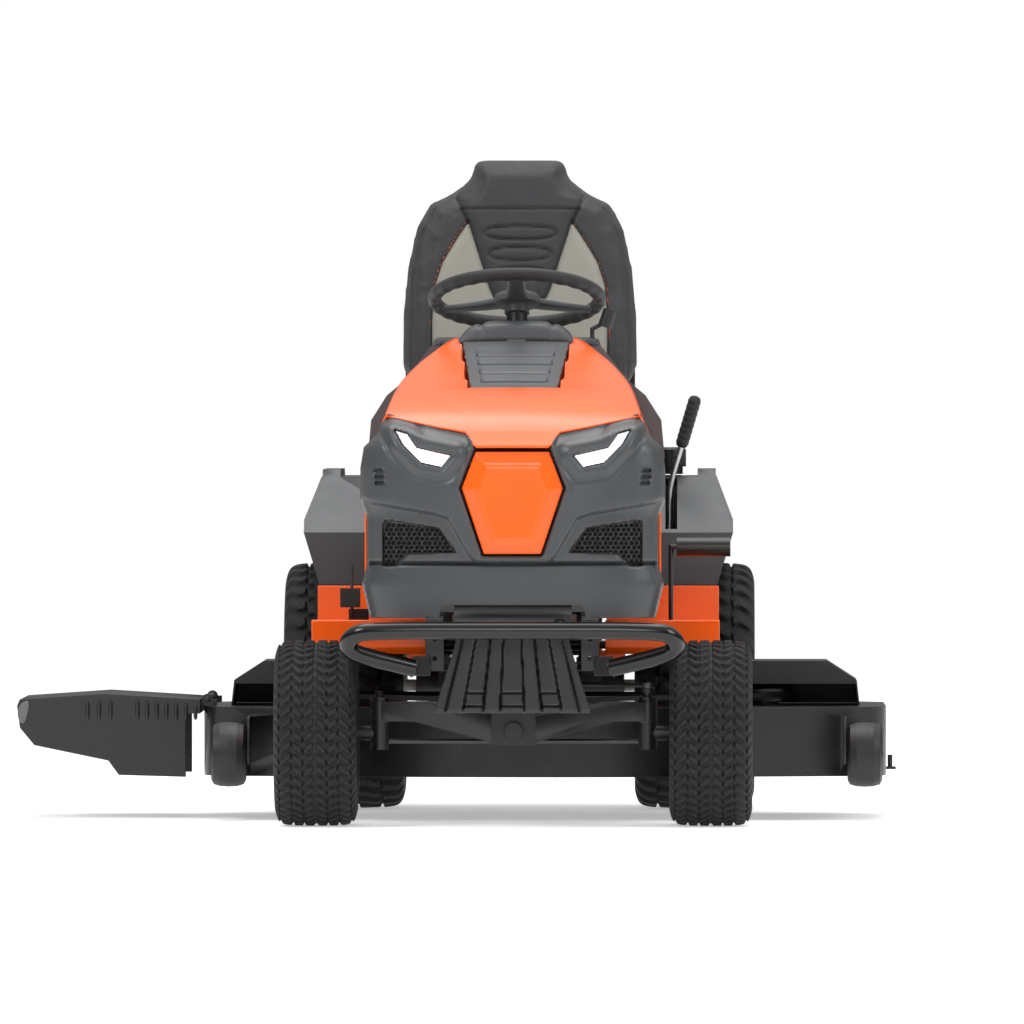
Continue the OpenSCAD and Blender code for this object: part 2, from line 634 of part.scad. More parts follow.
module steering_shaft() color("silver") on_column() difference() {
    foot = -(wheel_z - shaft_foot_z) / cos(column_lean);
    union() {
        translate([0, 0, foot]) cylinder(h = -foot - 12, r = shaft_r);
        translate([0, 0, foot - 2]) cylinder(h = 14, r = pinion_r - 1);
    }
    for (a = [0 : 30 : 330]) rotate([0, 0, a]) translate([pinion_r - 1, 0, foot - 3])
        linear_extrude(16) polygon([[1, -2.4], [-2, -0.8], [-2, 0.8], [1, 2.4]]);
}

module steering_wheel() color("black") on_column() {
    rim_r = (wheel_d - wheel_rim_d) / 2;
    rotate_extrude($fn = 96) translate([rim_r, 0]) circle(r = wheel_rim_d / 2);
    translate([0, 0, -12]) cylinder(h = 18, r = 48);
    translate([0, 0, -32]) difference() {
        cylinder(h = 21, r = 26);
        translate([0, 0, -1]) cylinder(h = 21, r = shaft_r + fit);
    }
    for (a = [20, 160, 270]) rotate([0, 0, a])
        block([40, -17, -10], [rim_r - 6, 17, 0]);
}

// ---- wheels, drawn round the axle's middle with +X outwards ----

module tyre(d, w, rim_r) color("black") rotate([0, 90, 0]) rotate_extrude($fn = 96) {
    r = d / 2;
    polygon([[rim_r, -w * 0.36], [rim_r + 8, -w * 0.42], [(r + rim_r) / 2, -w / 2], [r - 26, -w * 0.475],
        [r - 6, -w * 0.43], [r, -w * 0.34], [r, w * 0.34], [r - 6, w * 0.43], [r - 26, w * 0.475],
        [(r + rim_r) / 2, w / 2], [rim_r + 8, w * 0.42], [rim_r, w * 0.36]]);
}

module rim(rim_r, w, hub_r, hub_x, bore_r) color("whitesmoke") rotate([0, 90, 0]) difference() {
    union() {
        rotate_extrude($fn = 96) polygon([[rim_r - 14, -w * 0.36], [rim_r, -w * 0.36], [rim_r, w * 0.36],
            [rim_r - 14, w * 0.36], [rim_r - 14, w * 0.3], [rim_r - 6, w * 0.24], [rim_r - 6, -w * 0.24],
            [rim_r - 14, -w * 0.3]]);
        rotate_extrude($fn = 96) polygon([[0, 4], [hub_r + 12, 4], [rim_r - 30, 22], [rim_r - 5, 22],
            [rim_r - 5, 27], [rim_r - 32, 27], [hub_r + 10, 9], [0, 9]]);
        translate([0, 0, -hub_x]) cylinder(h = 2 * hub_x, r = hub_r);
    }
    translate([0, 0, -hub_x - 1]) cylinder(h = 2 * hub_x + 2, r = bore_r);
}

module front_tyre_left() translate([front_x, 0, front_z]) tyre(front_tyre_d, front_tyre_w, front_rim_r);
module front_tyre_right() mirror([1, 0, 0]) front_tyre_left();
module front_rim_left() translate([front_x, 0, front_z]) rim(front_rim_r, front_tyre_w, 22, 52, stub_r + fit);
module front_rim_right() mirror([1, 0, 0]) front_rim_left();

module rear_tyre_left() translate([rear_x, wheelbase, rear_z]) tyre(rear_tyre_d, rear_tyre_w, rear_rim_r);
module rear_tyre_right() mirror([1, 0, 0]) rear_tyre_left();
module rear_rim_left() {
    translate([rear_x, wheelbase, rear_z]) rim(rear_rim_r, rear_tyre_w, 34, 60, 12.7);
    color("silver") bar_x(152, rear_x + 62, wheelbase, rear_z, 12.7);
}
module rear_rim_right() mirror([1, 0, 0]) rear_rim_left();

// ---- hood, drawn from a front outline and a side outline that cut each other ----

// Front outline of the hood; t is the inset of the sheet
function hood_front(t) = mirrored([[hood_hw - 9 - t, hood_z0 - 1 - 100 * sign(t)], [hood_hw - 9 - t, 690],
    [hood_hw - 14 - t, 735], [hood_hw - 28 - t, 790], [hood_hw - 46 - t, 832], [hood_hw - 55 - t, 860 - t],
    [hood_hw - 72 - t, 905 - t], [hood_hw - 109 - t, 947 - t], [hood_hw - 140 - t, 972 - t], [132 - t, 1003 - t],
    [112 - t, 1006 - t]]);

// Side outline of the hood's top
function hood_side(t) = [[nose_y - 20, hood_z0 - 100 * sign(t)], [nose_y - 20, 752 - t], [nose_y + 3, 782 - t],
    [-210, 812 - t], [hood_y0, 838 - t], [-80, 866 - t], [0, 889 - t], [60, 902 - t], [200, 938 - t], [330, 974 - t],
    [hood_y1 + t, 1006 - t], [hood_y1 + t, hood_z0 - 100 * sign(t)]];

// Plan of the nose and hood; t is the inset of the sheet
function hood_plan(t) = mirrored([[hood_hw + 1, hood_y1 + 20], [hood_hw + 1, hood_y0], [hood_hw - 6 - t, -178],
    [276 - t, -210 + t], [190 - t, -232 + t], [90 - t, nose_y + t]]);

module hood_body(t) intersection() {
    side_plate(hood_side(t), -400, 400);
    front_plate(hood_front(t), nose_y - 20, hood_y1 + 20);
    translate([0, 0, 300]) linear_extrude(800) polygon(hood_plan(t));
}

// Edge between the grille and the nose of the hood
grille_top = [[264, 846], [152, 815], [91, 803], [77, 772], [0, 772]];

module vent_outline(grow, depth) {
    linear_extrude(depth)
        polygon([[-86 - grow, 62 - grow], [86 + grow, 62 - grow], [118 + grow, hood_y1 + 2], [-118 - grow, hood_y1 + 2]]);
}

module hood_shell() color("orangered") difference() {
    hood_body(0);
    hood_body(panel_t);
    translate([0, 0, 800]) vent_outline(0, 300);
    front_plate(mirrored(concat([[0, 300], [400, 300], [400, 846]], grille_top)), nose_y - 30, hood_y0);
}

module hood_vent() color("slategray") difference() {
    intersection() {
        translate([0, 0, 800]) vent_outline(-gap, 300);
        side_plate([[60, 885], [200, 915], [330, 948], [hood_y1 - 2, 978], [hood_y1 - 2, 984], [330, 955],
            [200, 922], [60, 892]], -130, 130);
    }
    for (y = [110, 190, 270, 350]) block([-70, y, 800], [70, y + 16, 1100]);
}

grille_plan = mirrored([[hood_hw, hood_y0 - gap], [hood_hw - 6, -178], [276, -210], [190, -232], [90, nose_y]]);
grille_hole = mirrored([[hood_hw - 12, hood_y0], [hood_hw - 16, -172], [268, -198], [184, -220], [88, nose_y + 12]]);
grille_front = mirrored([[144, grille_z0 + 26], [150, grille_z0], [hood_hw - 20, grille_z0], [hood_hw - 3, 500],
    [hood_hw - 14, 535], [hood_hw - 12, 640], [hood_hw, 670], [hood_hw, 735], [hood_hw - 7, 777],
    [hood_hw - 33, 803], [hood_hw - 51, 845], [258, 845], [152, 814], [92, 802], [78, 771]]);
badge_front = mirrored([[58, 560], [103, 694], [75, 768], [0, 768]]);
mesh_front = [[118, 566], [150, 612], [236, 626], [262, 626], [262, 536], [238, 536], [214, 562]];
lamp_front = [[125, 760], [195, 776], [214, 804], [239, 811], [223, 783], [209, 769], [186, 746], [144, 737]];
lens_front = [[126.4, 759.3], [195.7, 775.1], [214.5, 803.2], [236.9, 809.4], [222.2, 783.6], [208.4, 769.7],
    [185.6, 746.9], [144.5, 738.1]];

module grille_solid(z0, z1, plan) translate([0, 0, z0]) linear_extrude(z1 - z0) polygon(plan);

module grille() color("slategray") {
    difference() {
        intersection() {
            grille_solid(400, 860, grille_plan);
            front_plate(grille_front, -300, -100);
        }
        grille_solid(399, 861, grille_hole);
        front_plate(badge_front, -300, -100);
        both_sides() front_plate(mesh_front, -300, -100);
        both_sides() front_plate(lamp_front, -300, -100);
        block([-rail_x - 14, hinge_y - 15, grille_z0 - 1], [rail_x + 14, hinge_y + 15, rail_top + 40]);
    }
    both_sides() difference() {
        block([rail_x + 4, hinge_y - 12, hinge_z - 12], [rail_x + 12, hood_y0 - 1, hinge_z + 40]);
        bar_x(rail_x + 3, rail_x + 13, hood_y0 - 14, hinge_z + 24, 6);
    }
    both_sides() bar_x(rail_x - 30, rail_x + 12, hinge_y, hinge_z, pin_r);
    both_sides() block([rail_x + 12, -222, hinge_z + 10], [hood_hw - 60, -208, hinge_z + 40]);
}

module badge_panel() color("orangered") intersection() {
    front_plate(mirrored([[57, 561], [102, 694], [74, 767], [0, 767]]), -300, -100);
    grille_solid(400, 860, mirrored([[110, -234], [104, nose_y + 1], [60, nose_y - 6]]));
}

module mesh_panel(outline, inset, depth) both_sides() intersection() {
    front_plate(outline, -300, -100);
    difference() {
        grille_solid(400, 860, [[90, nose_y + inset], [190, -232 + inset], [276, -210 + inset], [300, -178 + inset],
            [300, -178 + inset + depth], [272, -204 + inset + depth], [190, -228 + inset + depth], [90, nose_y + inset + depth]]);
    }
}

module grille_mesh() color("black") mesh_panel([for (p = mesh_front) [215 + (p[0] - 215) * 0.985, 592 + (p[1] - 592) * 0.985]], 7, 4);
module headlamps() color("white") mesh_panel(lens_front, 3, 7);

// ---- hand and foot controls ----

module lift_lever() color("black") {
    bar_x(-rail_x + 8, lever_x + 6, lift_y, lift_z, 9);
    bar_x(lever_x - 12, lever_x + 12, lift_y, lift_z, 14);
    foot = [lever_x, lift_y, lift_z];
    knee = [lever_x, slope_y - 32, fender_z - 19];
    top = knee + [56, -6, 190];
    bent_rod([foot, knee, top], 6);
    rod(knee + (top - knee) * 0.45, top, 14);
    both_sides() block([112, lift_y - lift_arm, lift_z - 7], [124, lift_y, lift_z + 7]);
    both_sides() bar_x(112, 138, lift_y - lift_arm, lift_z, pin_r);
}

module brake_pedal() color("black") {
    bar_x(rail_x - 12, brake_x + 4, pedal_y, pedal_z, 9);
    bent_rod([[brake_x, pedal_y, pedal_z], [brake_x, pedal_y - 14, 566], [brake_x + 24, pedal_y - 14, 566]], 5);
    bar_x(brake_x + 12, brake_x + 124, pedal_y - 14, 566, 20);
}

module forward_pedal() color("black") {
    bar_x(drive_x - 4, -rail_x + 12, pedal_y, pedal_z, 9);
    block([drive_x - 3, pedal_y - 16, pedal_z], [drive_x + 3, pedal_y + 4, 529]);
    block([drive_x - 24, pedal_y - 30, 440], [drive_x + 18, pedal_y - 16, 480]);
}

module reverse_pedal() color("black") {
    bar_x(drive_x - 4, -rail_x + 12, pedal_y + pedal_dy, pedal_z, 9);
    block([drive_x + 10, pedal_y + pedal_dy - 10, pedal_z], [drive_x + 16, pedal_y + pedal_dy + 10, 420]);
    block([drive_x - 8, pedal_y + pedal_dy - 22, 400], [drive_x + 34, pedal_y + pedal_dy - 8, 436]);
}

module ignition_key() color("silver") {
    bar_y(634, 662, -104, 940, 9);
    block([-118, 662, 937], [-90, 676, 943]);
}

module throttle_lever() color("black") {
    base = [158, 532, 960];
    bar_x(148, 171, 532, 960, 6);
    bent_rod([base, base + [0, 0, 60], base + [26, 0, 74]], 4.5);
    rod(base + [25, 0, 64], base + [37, 0, 100], 14);
}

module fuel_cap() color("black") translate([cap_x, cap_y, fender_z + 5]) difference() {
    union() {
        cylinder(h = 16, r = 25);
        translate([0, 0, 16]) cylinder(h = 36, r = cap_r);
        translate([0, 0, 52]) cylinder(h = 5, r1 = cap_r, r2 = cap_r - 6);
    }
    for (a = [0 : 30 : 330]) rotate([0, 0, a]) translate([cap_r + 1, 0, 17]) cylinder(h = 34, r = 3);
}

// ---- cutting deck ----

// Plan of the deck: three lobes at the front, square at the back; t is the inset of the plate
function deck_plan(t) = concat(
    [[deck_x1 - t, deck_y1 - 60 - t], [deck_x1 - 60 - t, deck_y1 - t], [deck_x0 + 60 + t, deck_y1 - t],
     [deck_x0 + t, deck_y1 - 60 - t], [deck_x0 + t, deck_y0 + 190]],
    [for (i = [0 : 4]) [deck_x0 + t + 100 - 100 * cos(i * 22.5), deck_y0 + 190 - (90 - t) * sin(i * 22.5)]],
    [for (i = [0 : 8]) [deck_dx + (i - 4) * 80, deck_y0 + t + 30 - 30 * sin(22.5 * i)]],
    [for (i = [4 : -1 : 0]) [deck_x1 - t - 100 + 100 * cos(i * 22.5), deck_y0 + 190 - (90 - t) * sin(i * 22.5)]]);

module deck_shell() color("black") {
    difference() {
        translate([0, 0, deck_z]) linear_extrude(deck_h) polygon(deck_plan(0));
        translate([0, 0, deck_z - 1]) linear_extrude(deck_h - deck_t + 1) polygon(deck_plan(deck_t));
        block([deck_x0 - 1, chute_y0 + 50, deck_z - 1], [deck_x0 + 60, chute_y1 - 30, deck_top - 30]);
        for (s = spindles) translate([s[0], s[1], deck_z]) cylinder(h = deck_h + 1, r = 40);
    }
    for (y = [chute_y0 + 14, chute_y1 - 30]) difference() {
        union() {
            block([chute_pin_x - 7, y, deck_top - 2], [chute_pin_x + 20, y + 8, chute_hinge_z]);
            bar_y(y, y + 8, chute_pin_x, chute_hinge_z, 11);
        }
        bar_y(y - 1, y + 9, chute_pin_x, chute_hinge_z, pin_r + fit);
    }
    for (s = [-1, 1]) {
        x = s < 0 ? deck_x0 + 20 + roller_w + 2 : deck_x1 - 10 - roller_w - 8;
        block([x, deck_y0 + 6, roller_z - 20], [x + 6, deck_y0 + 130, deck_top - 20]);
        bar_x(s < 0 ? x - roller_w - 4 : x, s < 0 ? x + 6 : x + roller_w + 10, deck_y0 + 26, roller_z, roller_pin_r);
    }
    both_sides() difference() {
        block([127, lift_y - lift_arm - 24, deck_top - 1], [133, lift_y - lift_arm + 24, lift_z + 18]);
        block([125, lift_y - lift_arm - 9, lift_z - pin_r - 3], [137, lift_y - lift_arm + 15, lift_z + pin_r + 3]);
    }
    block([deck_x1 - 2, deck_y1 - 130, deck_z + 4], [x_high, deck_y1 - 90, deck_z + 9]);
    translate([x_high - 12, deck_y1 - 110, deck_z + 8]) cylinder(h = 26, r = 5);
}

chute_side = [[0, 0], [-200, 12], [-chute_l + 6, 0], [-chute_l, -14], [-chute_l + 6, -60], [-chute_l + 36, -96],
    [-chute_l + 190, -128], [-chute_l + 212, -158], [-30, -162], [-30, -30], [0, -30]];

module deck_chute() color("dimgray") translate([chute_hinge_x, 0, chute_hinge_z]) {
    t = panel_t - 1;
    difference() {
        front_plate(chute_side, chute_y0, chute_y1);
        front_plate([[-14, -t], [-200, 12 - t], [-chute_l + 8, -t], [-chute_l - 10, -60], [-chute_l - 10, -170],
            [-20, -170], [-14, -31]], chute_y0 + t, chute_y1 - t);
    }
    for (y = [chute_y0 + 24, chute_y1 - 41]) {
        bar_y(y, y + 9, 14, 0, 11);
        block([-4, y, -4], [14, y + 9, 0]);
    }
    bar_y(chute_y0 + 10, chute_y1 - 18, 14, 0, pin_r);
}

// A belt cover over one outer spindle, open below and towards the middle
module belt_cover(s) translate([spindles[s][0], spindle_y, deck_top + gap]) {
    half = 110;
    reach = (s == 0 ? deck_x0 : deck_x1) - spindles[s][0];
    k = sign(reach);
    outer = [[-k * 60, 0], [-k * 60, 92], [k * (abs(reach) - 122), 92], [k * (abs(reach) - 60), 52], [k * (abs(reach) - 54), 0]];
    inner = [[-k * 61, -1], [-k * 61, 88], [k * (abs(reach) - 124), 88], [k * (abs(reach) - 64), 50], [k * (abs(reach) - 58), -1]];
    difference() {
        front_plate(outer, -half, half);
        front_plate(inner, -half + 4, half - 4);
        block([-400, -half - 1, -1], [400, -half + 5, 44]);
    }
}
module belt_covers() color("black") {
    belt_cover(0);
    belt_cover(2);
}

module spindle_housings() color("silver") for (s = spindles) translate([s[0], s[1], 0]) difference() {
    union() {
        translate([0, 0, deck_z + 64]) cylinder(h = deck_h - 64 + 5, r = 30);
        translate([0, 0, deck_top - 34]) cylinder(h = 34, r = 39);
        translate([0, 0, deck_top - 40]) cylinder(h = 6, r = 52);
    }
    translate([0, 0, deck_z]) cylinder(h = deck_h + 20, r = 12 + fit);
}

// A blade with its spindle shaft and pulley, turned by an angle
module blade(s, angle) color("silver") translate([spindles[s][0], spindles[s][1], 0]) {
    translate([0, 0, deck_z + 22]) cylinder(h = pulley_z + pulley_h - deck_z - 22, r = 12);
    translate([0, 0, deck_z + 14]) cylinder(h = 49, r = 20);
    difference() {
        translate([0, 0, pulley_z]) cylinder(h = pulley_h, r = pulley_r + 4);
        translate([0, 0, pulley_z + 6]) difference() {
            cylinder(h = pulley_h - 12, r = pulley_r + 5);
            translate([0, 0, -1]) cylinder(h = pulley_h, r = pulley_r);
        }
    }
    rotate([0, 0, angle]) {
        block([-blade_l / 2, -blade_hw, deck_z + 22], [blade_l / 2, blade_hw, deck_z + 28]);
        for (k = [0, 180]) rotate([0, 0, k])
            block([blade_l / 2 - 130, blade_hw - 6, deck_z + 27], [blade_l / 2 - 12, blade_hw, deck_z + 46]);
    }
}
module blade_left() blade(2, 0);
module blade_centre() blade(1, 0);
module blade_right() blade(0, 0);

module roller(x) color("black") translate([x, deck_y0 + 26, roller_z]) rotate([0, 90, 0]) {
    rotate_extrude($fn = 64) polygon([[roller_pin_r + fit, 0], [roller_r - 14, 0], [roller_r - 5, 5], [roller_r - 1, 18], [roller_r, roller_w / 2],
        [roller_r - 1, roller_w - 18], [roller_r - 5, roller_w - 5], [roller_r - 14, roller_w],
        [roller_pin_r + fit, roller_w]]);
}
module roller_right() roller(deck_x0 + 20);
module roller_left() roller(deck_x1 - 10 - roller_w);

module belt_loop(grow) hull() for (p = [spindles[0], spindles[2], [0, crank_y]])
    translate(p) circle(r = pulley_r + grow, $fn = 40);

module deck_belt() color("black") translate([0, 0, pulley_z + 8]) linear_extrude(10) difference() {
    belt_loop(belt_t);
    belt_loop(0.2);
}

// Plain drum under the engine, long enough for the belt to follow the deck up and down
module crank_pulley() color("silver") translate([0, crank_y, 0]) {
    low = pulley_z + 4 - deck_drop;
    high = pulley_z + 22 + deck_rise;
    translate([0, 0, low]) cylinder(h = high - low, r = pulley_r);
    translate([0, 0, low - 8]) cylinder(h = 9, r = 18);
    translate([0, 0, high - 1]) cylinder(h = rail_top + 5.5 - high, r = 14);
}

place() frame_rails();
place() frame_crossmembers();
place() front_bumper();
place() front_guard();
place() engine_block();
place() blower_housing();
place() muffler();
place() battery();
place() fuel_tank();
place() transaxle();
place() drawbar();
place() dash_tower();
place() dash_cowl();
place() steering_column();
place() footrests();
place() rear_fender();
place() seat_bracket();
place() axle_beam();
place() spindle_left();
place() spindle_right();
place() tie_rod();
place() drag_link();
place() sector_gear();
place() steering_shaft();
place() steering_wheel();
place() front_tyre_left();
place() front_rim_left();
place() front_tyre_right();
place() front_rim_right();
place() rear_tyre_left();
place() rear_rim_left();
place() rear_tyre_right();
place() rear_rim_right();
place() hood_shell();
place() grille();
place() badge_panel();
place() grille_mesh();
place() headlamps();
place() hood_vent();
place() seat_cushion();
place() seat_backrest();
place() seat_shell();
place() lift_lever();
place() brake_pedal();
place() forward_pedal();
place() reverse_pedal();
place() ignition_key();
place() throttle_lever();
place() fuel_cap();
place() deck_shell();
place() deck_chute();
place() belt_covers();
place() spindle_housings();
place() blade_left();
place() blade_centre();
place() blade_right();
place() roller_left();
place() roller_right();
place() deck_belt();
place() crank_pulley();
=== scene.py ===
"""Looks of the riding mower: finished surfaces round the CAD frame.

Shapes are worked out in the machine's own millimetres, with the front axle on y = 0, the centreline on
x = 0 and the ground on z = 0. A piece's points move into the row frame, in metres, when its mesh is made.
"""

import math

import bmesh
import bpy
import numpy as np
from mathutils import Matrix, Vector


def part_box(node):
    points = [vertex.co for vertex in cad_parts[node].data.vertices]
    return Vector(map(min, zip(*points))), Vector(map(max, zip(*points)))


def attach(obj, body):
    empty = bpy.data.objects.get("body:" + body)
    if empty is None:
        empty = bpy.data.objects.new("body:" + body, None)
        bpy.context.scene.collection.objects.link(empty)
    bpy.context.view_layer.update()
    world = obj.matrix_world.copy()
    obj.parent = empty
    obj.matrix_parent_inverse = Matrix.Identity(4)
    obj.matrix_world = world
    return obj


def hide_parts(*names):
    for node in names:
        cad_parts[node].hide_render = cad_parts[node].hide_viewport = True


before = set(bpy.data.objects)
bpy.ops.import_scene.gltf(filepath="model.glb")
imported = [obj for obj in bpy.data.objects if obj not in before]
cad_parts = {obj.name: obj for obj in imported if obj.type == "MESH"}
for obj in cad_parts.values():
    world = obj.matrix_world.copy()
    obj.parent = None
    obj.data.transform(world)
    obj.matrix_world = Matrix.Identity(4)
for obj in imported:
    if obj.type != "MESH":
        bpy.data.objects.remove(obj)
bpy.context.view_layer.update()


def centre(node):
    low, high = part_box(node)
    return (np.array(low) + np.array(high)) / 2


# The front axle's middle, on the ground, in the row frame
ORIGIN = np.array((centre("dash_tower")[0], centre("front_rim_left")[1], 0.0))


def span(node):
    """Lowest and highest corner of a CAD node in the machine's millimetres."""
    low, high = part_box(node)
    return (np.array(low) - ORIGIN) * 1000, (np.array(high) - ORIGIN) * 1000


HOOD_HALF = span("grille")[1][0]
WHEELBASE = (centre("rear_rim_left")[1] - ORIGIN[1]) * 1000
LEAN = math.radians(8)                       # of the backrest
COLUMN = math.radians(17)                    # of the steering shaft
SIDES = ("left", "right")


# ---- sums ----

def ease(t):
    """Smooth step: 3t^2 - 2t^3, held at 0 below 0 and at 1 above 1."""
    t = np.clip(t, 0, 1)
    return t * t * (3 - 2 * t)


def hill(x, width):
    """Bell curve of height 1 round 0."""
    return np.exp(-(x / width) ** 2)


def soft_line(x, xs, ys, blur):
    """A line through the points (xs, ys), averaged over a short length so that its corners are round."""
    return np.mean([np.interp(x + d, xs, ys) for d in np.linspace(-blur, blur, 7)], axis=0)


def soft_min(a, b, k):
    """The lesser of two values, with the corner between them rounded over about k."""
    low = np.minimum(a, b)
    return low - k * np.log(np.exp(-(a - low) / k) + np.exp(-(b - low) / k))


def cut_corners(points, rounds, closed=True):
    """Chaikin's rule: each edge keeps the part from a quarter to three quarters of its length."""
    p = np.asarray(points, float)
    for _ in range(rounds):
        q = np.roll(p, -1, 0) if closed else p[1:]
        a = p if closed else p[:-1]
        new = np.stack([a * 0.75 + q * 0.25, a * 0.25 + q * 0.75], 1).reshape(-1, p.shape[1])
        p = new if closed else np.vstack([p[:1], new, p[-1:]])
    return p


def spaced(points, count):
    """Points at even distances along a line of points."""
    p = np.asarray(points, float)
    run = np.concatenate([[0], np.cumsum(np.linalg.norm(np.diff(p, axis=0), axis=1))])
    at = np.linspace(0, run[-1], count)
    return np.stack([np.interp(at, run, p[:, k]) for k in range(p.shape[1])], 1)


def mirrored(points):
    """An outline from its right half: the points, then their mirror images the other way."""
    p = np.asarray(points, float)
    return np.vstack([p, p[::-1] * (-1, 1)])


def distance(outline, a, b):
    """Signed distance to a closed outline: the least distance to its edges, negative inside, where a
    line to one side crosses an odd number of edges."""
    p = np.stack([np.ravel(a), np.ravel(b)], 1)[:, None]
    start = np.asarray(outline, float)[None]
    edge = np.roll(start, -1, 1) - start
    t = np.clip(((p - start) * edge).sum(2) / np.maximum((edge ** 2).sum(2), 1e-9), 0, 1)
    least = np.sqrt((((p - start) - edge * t[..., None]) ** 2).sum(2)).min(1)
    over = (start[..., 1] > p[..., 1]) != (start[..., 1] + edge[..., 1] > p[..., 1])
    rise = np.where(edge[..., 1] == 0, 1e-9, edge[..., 1])
    cross = start[..., 0] + (p[..., 1] - start[..., 1]) * edge[..., 0] / rise
    inside = (over & (p[..., 0] < cross)).sum(1) % 2 == 1
    return np.where(inside, -least, least).reshape(np.shape(a))


# ---- surfaces ----

def quads(rows, columns, closed_columns=False, closed_rows=False):
    """Faces of a grid of points; columns may close on the first column, and rows on the first row."""
    i = np.arange(rows if closed_rows else rows - 1)[:, None]
    j = np.arange(columns if closed_columns else columns - 1)[None]
    i2, j2 = (i + 1) % rows, (j + 1) % columns
    corners = [i * columns + j, i2 * columns + j, i2 * columns + j2, i * columns + j2]
    return np.stack(np.broadcast_arrays(*corners), -1).reshape(-1, 4)


def capped(rows, columns):
    """Faces of a round bar of that many rings, with a flat face at each end."""
    ends = [list(range(columns)), [rows * columns - 1 - k for k in range(columns)]]
    return [list(f)[::-1] for f in quads(rows, columns, True)] + ends


class Shape:
    """Points and faces gathered from several surfaces; each face has the number of its material."""

    def __init__(self):
        self.points, self.faces, self.marks, self.count = [], [], [], 0

    def add(self, points, faces, mark=0):
        points = np.asarray(points, float).reshape(-1, 3)
        faces = [[int(k) + self.count for k in f] for f in faces]
        self.points.append(points)
        self.faces += faces
        self.marks += [mark] * len(faces)
        self.count += len(points)
        return self

    def both(self, points, faces, mark=0):
        """Adds a surface and its mirror image in x."""
        points = np.asarray(points, float).reshape(-1, 3)
        self.add(points, faces, mark)
        return self.add(points * (-1, 1, 1), [list(f)[::-1] for f in faces], mark)


def tube(path, radius, sides):
    """Round tube: at each point of the path a circle lies across the path's direction. Its two axes
    are carried along by taking out the part of the last one that lies along the new direction."""
    p = np.asarray(path, float)
    ahead = np.gradient(p, axis=0)
    ahead /= np.linalg.norm(ahead, axis=1)[:, None]
    side = np.zeros_like(p)
    last = np.cross(ahead[0], (0, 0, 1.0) if abs(ahead[0][2]) < 0.9 else (0, 1.0, 0))
    for k, d in enumerate(ahead):
        last = last - d * (last @ d)
        last /= np.linalg.norm(last)
        side[k] = last
    up = np.cross(ahead, side)
    a = np.linspace(0, 2 * math.pi, sides, endpoint=False)
    r = np.broadcast_to(np.asarray(radius, float), (len(p),))[:, None, None]
    ring = side[:, None] * np.cos(a)[None, :, None] + up[:, None] * np.sin(a)[None, :, None]
    points = p[:, None] + ring * r
    return points.reshape(-1, 3), capped(len(p), sides)


def lathe(profile, sides):
    """A profile of (radius, height) points turned round the Z axis."""
    p = np.asarray(profile, float)
    a = np.linspace(0, 2 * math.pi, sides, endpoint=False)[None]
    r, h = p[:, :1], np.broadcast_to(p[:, 1:], (len(p), sides))
    points = np.stack([r * np.cos(a), r * np.sin(a), h], -1)
    return points.reshape(-1, 3), [list(f)[::-1] for f in quads(len(p), sides, True)]


def prism(outline, low, high, across):
    """An outline carried from low to high along one axis: along "y" it takes (x, z) points, and along
    "z" it takes (x, y) points."""
    o = np.asarray(outline, float)
    n = len(o)
    order = {"y": (0, 2, 1), "z": (0, 1, 2)}[across]
    ends = [np.column_stack([o, np.full(n, h)])[:, order] for h in (low, high)]
    turn = (np.roll(o[:, 0], -1) * o[:, 1] - np.roll(o[:, 1], -1) * o[:, 0]).sum() < 0
    walls = [[k, (k + 1) % n, (k + 1) % n + n, k + n] for k in range(n)]
    faces = walls + [list(range(n))[::-1], list(range(n, 2 * n))]
    if turn != (across == "y"):
        faces = [f[::-1] for f in faces]
    return np.vstack(ends), faces


def block(low, high):
    """A box from its lowest corner to its highest."""
    (x0, y0, z0), (x1, y1, z1) = low, high
    return prism([(x0, y0), (x1, y0), (x1, y1), (x0, y1)], z0, z1, "z")


def patch(region, cell, low, high):
    """Grid over a rectangle, cut to a region given by its signed distance. Grid points near the
    region's edge move on to it along the distance's slope; faces with every corner inside stay, and
    those with three corners inside become triangles. Gives the points' two coordinates and the faces."""
    a, b = np.meshgrid(np.arange(low[0], high[0] + cell, cell), np.arange(low[1], high[1] + cell, cell),
                       indexing="ij")
    for _ in range(2):
        d = region(a, b)
        slope_a = (region(a + 0.3, b) - region(a - 0.3, b)) / 0.6
        slope_b = (region(a, b + 0.3) - region(a, b - 0.3)) / 0.6
        near = np.abs(d) < 0.6 * cell
        a, b = a - near * d * slope_a, b - near * d * slope_b
    inside = (region(a, b) < 0.06 * cell).ravel()
    faces = []
    for f in quads(*a.shape):
        kept = f[inside[f]]
        if len(kept) >= 3:
            faces.append(kept.tolist())
    used = np.zeros(a.size, bool)
    used[[k for f in faces for k in f]] = True
    number = np.cumsum(used) - 1
    return a.ravel()[used], b.ravel()[used], [[int(number[k]) for k in f] for f in faces]


# ---- pieces ----

SEAM = 3e-5                                  # points of a made surface closer than this are one
CAD_GAP = 2e-6                               # the same, for a CAD node's copy
PAD_GAP = 4e-4                               # the same, for a pad's two sheets
FLAT = math.radians(0.6)                     # faces that meet at less are one flat face
BEVEL_FROM = math.radians(32)
SHARP, SHARP_BEVELLED = math.radians(38), math.radians(50)
WIDE_BEVEL = 4                               # a wider bevel has four segments instead of two


def placed(name, data):
    """An object for a mesh, a light or a camera, in the scene."""
    obj = bpy.data.objects.new(name, data)
    bpy.context.scene.collection.objects.link(obj)
    return obj


